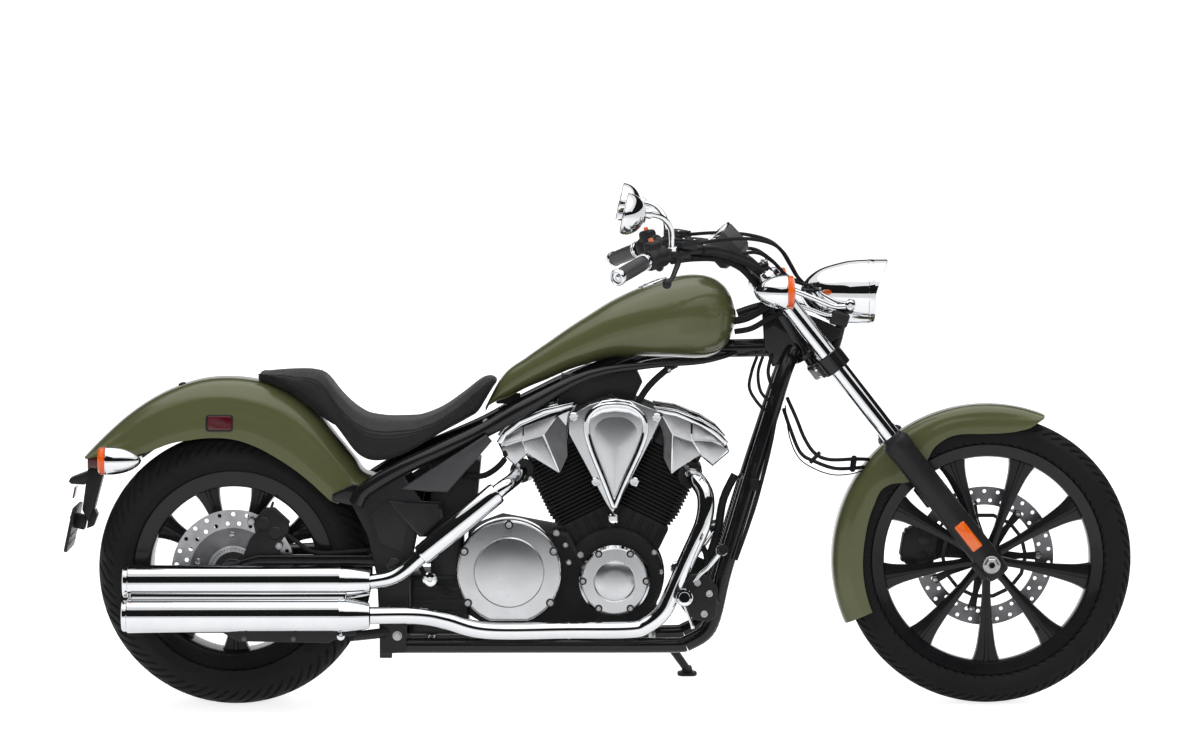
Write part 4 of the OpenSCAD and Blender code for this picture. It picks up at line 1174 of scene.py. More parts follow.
@dataclass(frozen=True)
class Chassis:
    """Welded tube frame: backbone, seat rails, downtubes, cradle and side plates."""

    tube_r: float = 19.0
    pivot: tuple[float, float] = (384.0, 350.0)

    def steering_seat(self) -> Seat3:
        """Axes whose third direction runs up the steering axis."""
        rake = np.radians(32)
        return looking([1897 - 900 * np.tan(rake), 0, 900], [-np.sin(rake), 0, np.cos(rake)])

    def build(self, shop: Workshop) -> None:
        """Makes the frame's pieces."""
        head = self.steering_seat()
        neck = revolve([[14.1, -78], [30, -78], [34, -76], [34, -66], [30, -62], [27, -40], [27, 52], [30, 74],
                        [34, 78], [34, 88], [30, 90], [14.1, 90]], head, 48, True)
        gusset = slab([[1340, 824], [1366, 842], [1338, 905], [1298, 954], [1262, 958], [1268, 860], [1288, 812]],
                      -24, 24, SIDE, 6)
        spine = tube([[1326, 0, 858], [1180, 0, 855], [1000, 0, 851], [880, 0, 806], [800, 0, 770], [640, 0, 692]],
                     22, 24)
        strut = tube([[1290, 0, 962], [1246, 0, 952], [1204, 0, 938]], 11, 16)
        shop.add("backbone", [neck, gusset, spine, strut], GLOSS, ["frame_backbone"])
        rails = path_both(RAIL_PATH, [6, 7, 8, 12] + [self.tube_r] * 6)
        ears = slab([[318, 536], [296, 486], [238, 500], [238, 516], [286, 540]], 117.4, 128, SIDE,
                    3).both()
        cross = tube([[602, -112, 669], [602, 0, 672], [602, 112, 669]], 11, 16, hint=(0.9, 0.2, 0.1))
        shop.add("seat_rails", rails + ears + cross, GLOSS, ["frame_rails"])
        down = path_both([[1338, 28, 850], [1316, 56, 806], [1278, 77, 686], [1240, 96, 566], [1202, 110, 440],
                          [1166, 122, 318], [1144, 122, 222], [1122, 122, 182], [1078, 122, 157]], self.tube_r)
        shop.add("downtubes", down, GLOSS, ["frame_downtubes"])
        low = path_both([[1078, 122, 157], [1030, 122, 154], [700, 122, 154], [352, 122, 154]], self.tube_r - 1)
        bars = [tube([[x, -122, 154], [x, 0, 154], [x, 122, 154]], r, 16, hint=(1, 0, 0.1)) for x, r in
                ((1000, 13), (470, 13))]
        feet = [box([30, 60, 8], sideways(352, 154, s * 122).moved(12, 0, 0), 3) for s in (-1, 1)]
        shop.add("cradle", [low] + bars + feet + [self.stand_ears()], GLOSS, ["frame_cradle"])
        self.side_plates(shop)
        self.trim(shop)

    @staticmethod
    def stand_ears() -> Form:
        """Clevis and pin that hold the side stand."""
        seat = stand_seat()
        pin = revolve([[0, -24], [7.4, -24], [8, -23], [8, 23], [7.4, 24], [0, 24]], seat, 24)
        ears = [revolve([[0, h], [16, h], [17, h + 1.5], [17, h + 8.5], [16, h + 10], [0, h + 10]], seat, 32)
                for h in (-24, 14)]
        arms = [rod([1014, 128, 154], seat.at([0, -9, h]), 10, 8, 16, 2) for h in (-19, 19)]
        return joined([pin] + ears + arms)

    def side_plates(self, shop: Workshop) -> None:
        """Cast plates round the swingarm pivot, their bolts, and the covers over them."""
        outline = [[282, 498], [312, 524], [404, 566], [452, 500], [424, 352], [412, 140], [352, 136], [344, 320],
                   [322, 420]]
        plates = slab(outline, 128, 146, SIDE, 4).both()
        pocket = slab([[330, 470], [398, 524], [428, 486], [404, 380], [352, 400]], 146, 148.5, SIDE,
                      1).both()
        rods = [rod([430, -128, 470], [430, 128, 470], 14), rod([392, -128, 180], [392, 128, 180], 14)]
        heads = [bolt(15, 5), bolt(9, 6, Head.HEX), bolt(9, 6, Head.HEX)]
        spots = [(384, 350), (392, 180), (372, 240)]
        bolts = joined(copies(h, [rightward(x, z, -146)]) for h, (x, z) in zip(heads, spots)).both()
        shop.add("pivot_plates", [plates, pocket] + rods, SATIN, ["frame_plates"])
        shop.add("pivot_bolts", bolts, STEEL)
        wedge = slab([[400, 530], [604, 660], [618, 644], [512, 521]], 131, 149, SIDE, 5, 3).both()
        shop.add("side_wedge", wedge, DARK_GREY, ["side_covers"])
        shield = slab([[366, 506], [498, 500], [504, 456], [465, 417], [445, 417]], 147, 152, SIDE,
                      2).both()
        rim = slab([[376, 500], [490, 494], [495, 459], [461, 425], [447, 425]], 150, 153, SIDE, 1.2).both()
        shop.add("side_shield", shield, GLOSS)
        shop.add("side_shield_face", rim, SATIN)

    @staticmethod
    def trim(shop: Workshop) -> None:
        """Battery box, wiring, hoses and brackets that fill the middle of the frame."""
        tray = slab([[470, 300], [470, 596], [540, 620], [590, 590], [580, 480], [548, 430], [548, 300]], -96, 96,
                    SIDE, 10)
        under = slab([[770, 700], [782, 792], [960, 812], [976, 778], [948, 720], [900, 752]], -60, 60,
                     SIDE, 4)
        lower = slab([[420, 176], [420, 320], [560, 320], [560, 176]], -108, 96, SIDE, 14)
        ribs = [slab([[432, z], [432, z + 9], [556, z + 9], [556, z]], -112, -106, SIDE, 2)
                for z in (196, 226, 256, 286)]
        shop.add("middle_boxes", [tray, under, lower] + ribs, SATIN)
        lines = [
            tube([[1190, -36, 922], [1226, -40, 930], [1268, -42, 952], [1304, -36, 968]], 9, 12),
            tube([[1196, -48, 898], [1236, -52, 906], [1280, -48, 930], [1316, -40, 946]], 7, 12),
            tube([[1056, -60, 820], [1030, -74, 806], [990, -90, 770], [962, -94, 728], [950, -84, 700]], 8, 12),
            tube([[1250, -40, 838], [1236, -56, 800], [1232, -66, 760], [1262, -70, 716], [1288, -74, 700]], 4, 8),
            tube([[1264, -40, 838], [1252, -56, 800], [1258, -68, 756], [1284, -72, 728]], 4, 8),
            tube([[1284, -42, 838], [1276, -58, 800], [1288, -70, 756], [1296, -76, 720], [1276, -84, 640]], 4.5, 8),
            tube([[1300, -60, 752], [1286, -98, 660], [1262, -116, 560], [1236, -126, 470], [1196, -142, 360]], 5, 8),
            tube([[1262, -88, 640], [1252, -100, 604], [1240, -112, 570], [1236, -118, 530]], 6, 10),
            tube([[1196, -92, 560], [1168, -96, 500], [1154, -92, 420], [1130, -96, 350]], 10, 10),
            tube([[1092, -90, 420], [1110, -100, 400], [1126, -102, 372], [1128, -110, 340]], 7, 10),
            tube([[540, -100, 560], [600, -112, 560], [648, -116, 600], [640, -100, 640]], 7, 10),
            tube([[430, -118, 372], [450, -140, 340], [470, -150, 306], [520, -140, 280]], 6, 10),
        ]
        joints = [box([20, 46, 20], looking([1288, -78, 724], [0.2, -0.9, 0.1], (0, 0.2, 1)), 3),
                  box([24, 30, 22], looking([1240, -118, 538], [0.2, -0.9, 0.1], (0, 0.2, 1)), 4)]
        shop.add("hoses_and_wiring", lines + joints, RUBBER)
        clamps = [revolve([[8.8, -4], [10.2, -4], [10.2, 4], [8.8, 4]], looking(p, d), 20, True) for p, d in
                  (([1036, -71, 810], [-1, -0.3, -0.5]), ([956, -91, 716], [-0.4, 0, -1]))]
        shop.add("hose_clips", clamps, STEEL)


RAIL_PATH = [[1200, 18, 846], [1120, 70, 829], [998, 100, 822], [849, 106, 799], [701, 110, 724],
             [602, 112, 669], [500, 126, 623], [404, 138, 580], [318, 138, 528], [296, 138, 494]]


def stand_seat() -> Seat3:
    """Axes at the side stand's pin, the third along it."""
    pin, foot = np.array([1010, 172, 168.0]), np.array([1092, 262, 31.6])
    out = (foot - pin) / np.linalg.norm(foot - pin)
    stowed = np.array([-0.99, 0.05, 0.13])
    axis = np.cross(out, stowed)
    return looking(pin, axis / np.linalg.norm(axis), out)


@dataclass(frozen=True)
class Tank:
    """Teardrop fuel tank with a tunnel for the backbone, and its filler cap."""

    top: tuple = ((600, 715), (635, 780), (700, 835), (750, 870), (800, 905), (850, 937), (900, 968), (950, 992),
                  (1000, 1012), (1050, 1026), (1100, 1032), (1130, 1029), (1160, 1016), (1180, 996), (1192, 972),
                  (1200, 944))
    low: tuple = ((600, 714), (622, 727), (651, 738), (701, 763), (750, 783), (800, 805), (849, 820), (899, 834),
                  (948, 837), (1040, 837), (1136, 838), (1156, 845), (1176, 862), (1188, 884), (1196, 912),
                  (1200, 930))
    plan: tuple = ((600, 24), (640, 40), (700, 56), (800, 82), (900, 106), (1000, 127), (1060, 135), (1100, 133),
                   (1140, 119), (1170, 97), (1188, 70), (1196, 46), (1200, 26))
    tunnel: tuple = ((780, 700), (820, 812), (900, 846), (1000, 880), (1184, 884), (1190, 860))

    def skin(self) -> Form:
        """Rings along X: a rounded box section, wide at the waist, drawn in towards both ends, with a soft
        crease that runs back from the shoulder and a shallow hollow under it."""
        x = 600.5 + 599 * (1 - np.cos(np.linspace(0, np.pi, 120))) / 2
        top, low, half = (lookup(t, x)[:, None] for t in (self.top, self.low, self.plan))
        waist = low + 0.42 * (top - low)
        start = np.arccos(np.minimum(0.95, 27 / half)**(1 / 0.75))
        a = -start + (np.pi + 2 * start) * np.linspace(0, 1, 97)[None]
        cos, sin = np.cos(a), np.sin(a)
        y = half * np.sign(cos) * np.abs(cos)**0.75
        z = waist + np.where(sin > 0, top - waist, waist - low) * np.sign(sin) * np.abs(sin)**0.8
        line = 800 + 0.36 * (x[:, None] - 700)
        hollow = 5.0 * np.exp(-((z - line + 26) / 24)**2) * np.clip((x[:, None] - 640) / 120, 0, 1)
        hollow *= np.clip((1150 - x[:, None]) / 120, 0, 1) * np.abs(cos)
        y -= np.sign(y) * hollow
        tunnel = np.clip(np.interp(x, *np.array(self.tunnel, float).T)[:, None], low + 0.5, top - 12)
        inner = half * np.cos(start)**0.75
        x = x[:, None]
        ring = np.stack([np.broadcast_to(x, y.shape), y, z], -1)
        roof = np.stack([np.stack([x, -inner, tunnel], -1), np.stack([x, inner, tunnel], -1)], 1)[:, :, 0]
        return grid(np.concatenate([ring, roof], 1))

    def build(self, shop: Workshop) -> None:
        """Makes the tank, its seam and its cap."""
        shop.add("tank_shell", self.skin(), OLIVE, ["fuel_tank"], sharp=50)
        seat = looking([1000, 0, 1012], [-np.sin(np.radians(20)), 0, np.cos(np.radians(20))])
        cap = revolve([[0, -12], [33.4, -12], [33.6, -1], [32.6, 0.6], [29, 1.2], [28, 2.6], [23, 3.6], [21, 3],
                       [19, 1.6], [17, 1.4], [15, 3], [8, 3.8], [0, 4]], seat, 72)
        shop.add("filler_cap", cap, CHROME, ["fuel_cap"])
        ring = revolve([[33.8, -3], [38, -3], [38, 0.6], [36.5, 1.8], [34, 1.2]], seat, 72, True)
        shop.add("filler_ring", ring, CHROME)
        lug = box([58, 26, 5], sideways(655, 735, 0).moved(0, 0, 0), 2)
        shop.add("tank_tail_lug", lug, SATIN)


def shell_rings(x: float, z: float, angles: Array, top: Array, edge: Array, half: float, skin: float, bulge: float,
                crease: float, at: float, steps: int = 46) -> Form:
    """A hollow fender: at each angle round its axle, a rounded section with an outer and an inner wall.

    The half section rises from its edge to its top as a power of the sine while its width falls as a power of
    the cosine; a hollow below the crease line gives the side its bright band.

    Args:
        x: the axle's place ahead.
        z: the axle's height.
        angles: stations, in degrees from straight ahead.
        top: radius of the crown at each station.
        edge: radius of the lower edge at each station.
        half: half of the width.
        skin: thickness of the wall.
        bulge: power of the cosine; smaller is squarer.
        crease: depth of the hollow.
        at: height of the crease, as a share of the side.
        steps: points over the section.

    Returns:
        The closed shell.
    """
    a = np.pi * np.linspace(0, 1, steps + 1)[None]
    cos, sin = np.cos(a), np.clip(np.sin(a), 0, 1)
    rows = []
    for wall in (0.0, skin):
        share = sin**0.7
        hollow = crease * (np.exp(-((share - at + 0.16) / 0.13)**2) + 0.5 * np.exp(-((share - at - 0.2) / 0.1)**2))
        fade = np.clip(np.minimum(angles - angles[0], angles[-1] - angles) / 16, 0, 1)[:, None]
        y = np.sign(cos) * np.abs((half - wall) * np.abs(cos)**bulge - hollow * fade * (np.abs(cos) > 0.02))
        r = edge[:, None] + (top[:, None] - wall - edge[:, None]) * share
        rows.append(np.stack([r, np.broadcast_to(y, r.shape)], -1))
    ring = np.concatenate([rows[0], rows[1][:, ::-1]], 1)
    t = np.radians(angles)[:, None]
    points = np.stack([x + ring[..., 0] * np.cos(t), ring[..., 1], z + ring[..., 0] * np.sin(t)], -1)
    body = grid(points, caps=False)
    n, count = steps + 1, 2 * (steps + 1)
    k = np.arange(n - 1)
    strip = np.stack([k, k + 1, count - 2 - k, count - 1 - k], 1)
    return Form(body.points, body.faces + (strip, strip[:, ::-1] + (len(angles) - 1) * count))


@dataclass(frozen=True)
class Fenders:
    """Painted fenders and the hidden mudguard under the rear one."""

    rear_top: tuple = ((33, 409), (36, 392), (42, 391), (51, 399), (62, 422), (74, 447), (80, 453), (90, 459),
                       (99, 461), (109, 457), (124, 449), (133, 446), (142, 448))
    rear_edge: tuple = ((33, 300), (36, 290), (40, 286), (48, 284), (58, 286), (70, 294), (80, 306), (90, 318),
                        (99, 325), (108, 332), (115, 340), (123, 348), (128, 358), (134, 390), (138, 416), (142, 440))
    front_edge: tuple = ((69, 366), (72, 340), (77, 321), (84, 309), (91, 306), (110, 311), (117, 299), (120, 288),
                         (137, 276), (141, 296), (145, 307), (154, 306), (170, 301), (189, 302), (204, 304))

    def build(self, shop: Workshop) -> None:
        """Makes both fenders, the reflector and the mudguard."""
        angles = np.linspace(33.2, 142, 110)
        rear = shell_rings(0, REAR_R, angles, lookup(self.rear_top, angles), lookup(self.rear_edge, angles), 117, 4,
                           0.5, 4.5, 0.66)
        shop.add("rear_fender_shell", rear, OLIVE, ["rear_fender"], sharp=50)
        angles = np.linspace(69, 204, 140)
        front = shell_rings(WHEELBASE, FRONT_R, angles, np.full(len(angles), 374.0), lookup(self.front_edge, angles),
                            60, 3, 0.42, 1.6, 0.78)
        shop.add("front_fender_shell", front, OLIVE, ["front_fender"], sharp=50, body="steering")
        studs = []
        for a in np.radians([124, 133]):
            seat = sideways(WHEELBASE + 292 * np.cos(a), FRONT_R + 292 * np.sin(a), 59.8)
            studs.append(revolve([[0, 0], [7, 0], [7, 20], [0, 20]], seat, 16))
        shop.add("fender_studs", joined(studs).both(), STEEL, body="steering")
        t = np.radians(np.linspace(20, 128, 60))
        guard = np.array([[r * np.cos(t), np.full(len(t), y), REAR_R + r * np.sin(t)] for r, y in
                          ((346, -104), (346, 104), (351, 104), (351, -104))]).transpose(2, 0, 1)
        posts = [rod([349 * np.cos(a), 0, REAR_R + 349 * np.sin(a)], [r * np.cos(a), 0, REAR_R + r * np.sin(a)], 10)
                 for a, r in ((np.radians(72), 442), (np.radians(118), 447))]
        shop.add("mudguard", [grid(guard)] + posts, SATIN, ["inner_mudguard"], sharp=25)
        skin = BodyRays(shop.mesh("probe", rear, OLIVE), shop.stance)
        plate = box([58, 33, 4], skin.seat([-30, -200, 685], [0, 1, 0]), 5)
        rim = box([65, 40, 3], skin.seat([-30, -200, 685], [0, 1, 0]), 7)
        shop.add("side_reflector_rim", [rim, rim.mirrored()], SATIN)
        shop.add("side_reflector",
                 joined([plate, plate.mirrored()]).bent(lambda p: p + np.sign(p[:, 1:2]) * (0, 1.2, 0)),
                 RED_LENS)
        skin.drop()
        knob = revolve([[0, 0], [9, 0], [10, 3], [9, 8], [6, 10], [0, 11]],
                       looking([-125, 0, 764], [-0.27, 0, 0.96]), 24)
        shop.add("fender_knob", knob, SATIN)


class BodyRays:
    """Finds where a line meets a piece's skin, so that small parts sit on it."""

    def __init__(self, piece: bpy.types.Object, stance: Stance) -> None:
        """Keeps the piece and the stance."""
        self.piece, self.stance = piece, stance

    def seat(self, start: Sequence[float], way: Sequence[float]) -> Seat3:
        """Axes on the skin, the third one square to it.

        Args:
            start: a point outside, in machine millimetres.
            way: direction towards the skin.

        Returns:
            The axes, or the start's own when nothing is met.
        """
        origin = Vector(self.stance.place(np.array(start, float)))
        heading = Vector((np.array(way, float) @ self.stance.axes).tolist())
        found, point, normal, _ = self.piece.ray_cast(origin, heading)
        if not found:
            return looking(start, -np.array(way, float), (0, 0, 1))
        spot = (np.array(point) - self.stance.origin) @ self.stance.axes.T * 1000
        return looking(spot, np.array(normal) @ self.stance.axes.T, (0, 0, 1))

    def drop(self) -> None:
        """Removes a piece that was only made to be measured."""
        bpy.data.objects.remove(self.piece)


@dataclass(frozen=True)
class Saddle:
    """Leather seat: a low scooped cushion that climbs onto the fender, with sewn seams round its side."""

    top: tuple = ((55, 800), (75, 803), (150, 806), (200, 804), (215, 796), (250, 752), (280, 722), (310, 702),
                  (350, 692), (400, 690), (450, 694), (500, 714), (550, 749), (600, 787), (620, 795), (632, 784))
    low: tuple = ((55, 794), (89, 791), (129, 774), (158, 756), (208, 717), (257, 658), (297, 608), (330, 592),
                  (356, 592), (405, 606), (454, 632), (504, 660), (563, 690), (583, 702), (600, 728), (612, 748),
                  (632, 778))
    plan: tuple = ((55, 60), (75, 86), (110, 104), (160, 112), (210, 118), (260, 136), (320, 158), (380, 165),
                   (440, 158), (500, 134), (560, 104), (610, 78), (632, 52))
    base: tuple = ((56, 780.6), (100, 768), (130, 755), (160, 735), (198, 702), (240, 676), (300, 660), (400, 640),
                   (480, 668), (560, 724), (632, 780))
    swell: float = 0.006

    def section(self, x: Array, a: Array, shrink: float = 0.0) -> Array:
        """Points of the cushion's upper skin at stations x and angles a over the section.

        Args:
            x: stations.
            a: angles from the left edge over the top to the right, in radians.
            shrink: how far the skin is drawn in.

        Returns:
            Points, stations by angles by 3.
        """
        top, low, half = (lookup(t, x)[:, None] for t in (self.top, self.low, self.plan))
        waist = low + 0.45 * (top - low)
        y = (half - shrink) * np.sign(np.cos(a)) * np.abs(np.cos(a))**0.62
        z = waist + (top - shrink - waist) * np.clip(np.sin(a), 0, 1)**0.7
        return np.stack([np.broadcast_to(x[:, None], y.shape), y, z], -1)

    def cushion(self, shrink: float) -> Form:
        """The whole cushion, with its underside, drawn in by shrink."""
        x = np.linspace(57, 630.5, 90)
        upper = self.section(x, np.pi * np.linspace(0, 1, 49)[None], shrink)
        top, low, half = (lookup(t, x) for t in (self.top, self.low, self.plan))
        waist = low + 0.45 * (top - low)
        base = np.minimum(top - 10, np.interp(x, *np.array(self.base, float).T))
        under = [(-0.97, low + 0.4 * (waist - low)), (-0.86, low + shrink), (-0.7, low + 1 + shrink), (-0.56, base),
                 (0.56, base), (0.7, low + 1 + shrink), (0.86, low + shrink), (0.97, low + 0.4 * (waist - low))]
        lower = np.stack([np.stack([x, s * (half - shrink), h], -1) for s, h in under], 1)
        return grid(np.concatenate([upper, lower], 1))

    def puff(self, piece: bpy.types.Object) -> None:
        """Fills the cushion: an even skin under pressure, held at its underside, then smoothed.

        Args:
            piece: the cushion, whose mesh is replaced.
        """
        remesh = piece.modifiers.new("even_skin", "REMESH")
        remesh.mode, remesh.voxel_size = "VOXEL", 0.006
        self.settle(piece)
        data = piece.data
        count = len(data.vertices)
        rest, facing = np.zeros(count * 3), np.zeros(count * 3)
        data.vertices.foreach_get("co", rest)
        data.vertices.foreach_get("normal", facing)
        held = piece.vertex_groups.new(name="held")
        held.add(np.flatnonzero(facing.reshape(-1, 3)[:, 2] < -0.45).tolist(), 1.0, "REPLACE")
        cloth = piece.modifiers.new("fill", "CLOTH")
        cloth.settings.vertex_group_mass = "held"
        cloth.settings.use_pressure = True
        cloth.settings.uniform_pressure_force = 4.0
        cloth.settings.effector_weights.gravity = 0.0
        scene = bpy.context.scene
        for step in range(1, 21):
            scene.frame_set(step)
        evaluated = piece.evaluated_get(bpy.context.evaluated_depsgraph_get())
        full = np.zeros(count * 3)
        evaluated.data.vertices.foreach_get("co", full)
        piece.modifiers.remove(cloth)
        scene.frame_set(1)
        move = (full - rest).reshape(-1, 3)
        length = np.linalg.norm(move, axis=1, keepdims=True)
        move *= np.minimum(1, self.swell / np.maximum(length, 1e-9))
        data.vertices.foreach_set("co", (rest.reshape(-1, 3) + move).ravel())
        soften = piece.modifiers.new("soften", "SMOOTH")
        soften.factor, soften.iterations = 0.5, 6
        self.settle(piece)
        finer = piece.modifiers.new("finer", "SUBSURF")
        finer.levels = finer.render_levels = 1
        self.settle(piece)
        piece.data.shade_smooth()
        piece.vertex_groups.clear()

    @staticmethod
    def settle(piece: bpy.types.Object) -> None:
        """Makes a piece's modifiers part of its mesh."""
        evaluated = piece.evaluated_get(bpy.context.evaluated_depsgraph_get())
        data = bpy.data.meshes.new_from_object(evaluated)
        old = piece.data
        piece.modifiers.clear()
        piece.data = data
        bpy.data.meshes.remove(old)

    def build(self, shop: Workshop) -> None:
        """Makes the cushion and lays its seams on the finished skin."""
        piece = shop.mesh("seat_cushion", self.cushion(5.0), LEATHER, 60)
        self.puff(piece)
        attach(piece, "chassis")
        shop.declare(piece, LEATHER, ["seat"])
        LOG.info("seat_cushion rides on chassis, %s, %d faces", LEATHER.name, len(piece.data.polygons))
        x = np.linspace(64, 622, 110)
        seams = []
        for angle, radius, start in ((0.62, 1.8, 0), (0.42, 1.4, 20), (0.2, 1.4, 34)):
            for mirror in (1, -1):
                a = np.full((1, 1), angle if mirror > 0 else np.pi - angle)
                raw = self.section(x[start:], a)[:, 0]
                seams.append(tube(self.on_skin(piece, shop.stance, raw), radius, 6, 0))
        cross = self.section(np.array([206.0, 207.0]), np.linspace(0.3, np.pi - 0.3, 60)[None])[0]
        seams.append(tube(self.on_skin(piece, shop.stance, cross), 1.8, 6, 0, (1, 0, 0.1)))
        shop.add("seat_seams", seams, LEATHER, sharp=60)

    @staticmethod
    def on_skin(piece: bpy.types.Object, stance: Stance, points: Array) -> Array:
        """The nearest points of a piece's skin to a row of points."""
        placed = stance.place(points)
        found = [piece.closest_point_on_mesh(Vector(p)) for p in placed]
        spots = np.array([np.array(f[1]) if f[0] else p for f, p in zip(found, placed)])
        return (spots - stance.origin) @ stance.axes.T * 1000


@dataclass(frozen=True)
class Tail:
    """Tail light, number plate holder and rear signals."""

    def build(self, shop: Workshop) -> None:
        """Makes everything behind the rear fender."""
        lamp = sideways(-339, 585)
        shop.add("tail_lens", slab([[-12, -14], [-12, 13], [12, 15], [12, -15]], -46, 46, lamp, 4, 0), RED_LENS,
                 ["tail_light"])
        arm = [[-314, 634], [-325, 630], [-326, 570], [-352, 568], [-366, 470], [-352, 440], [-338, 470], [-314, 560],
               [-272, 584], [-272, 600], [-314, 596]]
        bracket = slab(arm, -30, 30, SIDE, 4)
        bar = rod([-280, -116.8, 592], [-280, 116.8, 592], 8)
        light = slab([[-398, 538], [-394, 546], [-352, 562], [-345, 548], [-360, 530], [-392, 532]], -32, 32,
                     SIDE, 4)
        tilt = np.radians(12)
        holder = Seat3(np.array([-384.0, 0, 476]), np.array([[0, 1.0, 0], [np.sin(tilt), 0, np.cos(tilt)],
                                                             [-np.cos(tilt), 0, np.sin(tilt)]]))
        ring = slab(rounded(92, 54, 12), -8, 0, holder.moved(0, -50, 0), 1.5)
        ribs = [box([150, 5, 4], holder.moved(0, y, -8), 1.5) for y in (-84, -64, -36)]
        boss = box([40, 34, 26], holder.moved(0, -33, -20), 3)
        hook = slab([[-352, 452], [-336, 470], [-330, 456], [-340, 430], [-356, 424]], -24, 24, SIDE, 3)
        shop.add("plate_holder", [bracket, bar, light, ring, boss, hook] + ribs, SATIN,
                 ["plate_bracket"])
        shop.add("plate_bolts", copies(bolt(6, 3, Head.DOME), [holder.moved(s * 73, -20, 0) for s in (-1, 1)]),
                 STEEL)
        shop.add("plate_reflector", box([60, 28, 4], holder.moved(0, 34, 8), 2), RED_LENS)
        bullet_lamp(shop, "rear", (-294, 154, 599), (-316, -294, -212), 34)
        stalk = rod([-280, 117, 592], [-280, 132, 592], 9, 9, 20, 1)
        shop.add("rear_signal_stalks", stalk.both(), CHROME)


def bullet_lamp(shop: Workshop, name: str, centre: Sequence[float], reach: Sequence[float], r: float) -> None:
    """A pair of bullet-shaped signal lamps: a pointed chrome shell and a ribbed amber lens.

    The shell's radius is a quarter ellipse along its length, drawn to a point.

    Args:
        shop: the workshop.
        name: start of the pieces' names.
        centre: middle of the seam, on the left.
        reach: places ahead of the lens's face, the seam and the tip.
        r: radius at the seam.
    """
    face, seam, tip = reach
    way = 1.0 if tip > seam else -1.0
    seat = looking([seam, centre[1], centre[2]], [way, 0, 0])
    length = abs(tip - seam)
    t = np.linspace(0, 1, 28)
    profile = np.column_stack([r * (1 - t**2)**0.62, length * t])
    back = [[0, -2], [r - 2, -2], [r - 0.4, -1.4], [r, 0]]
    shell = revolve(np.concatenate([back, profile[1:-1], [[0, length]]]), seat, 56)
    deep = abs(face - seam)
    lens = [[0, -deep], [r * 0.5, -deep + 0.4], [r * 0.82, -deep + 2.2], [r - 3, -deep + 5], [r - 1.6, -deep + 8]]
    u = np.linspace(-deep + 8, 0, 15)
    ridged = np.column_stack([r - 1.2 - 0.7 * (np.arange(15) % 2), u])
    glass = revolve(np.concatenate([lens, ridged, [[0, 0]]]), seat, 56)
    shop.add(f"{name}_signal_shells", shell.both(), CHROME, [f"{name}_signals"])
    shop.add(f"{name}_signal_lenses", glass.both(), AMBER)
    ring = revolve([[r - 1.5, -2.6], [r + 0.6, -2.6], [r + 1.1, -1.4], [r + 0.6, -0.2], [r - 1.5, -0.2]], seat, 56,
                   True)
    shop.add(f"{name}_signal_rings", ring.both(), CHROME)


# ---- engine and exhaust ---------------------------------------------------------------------


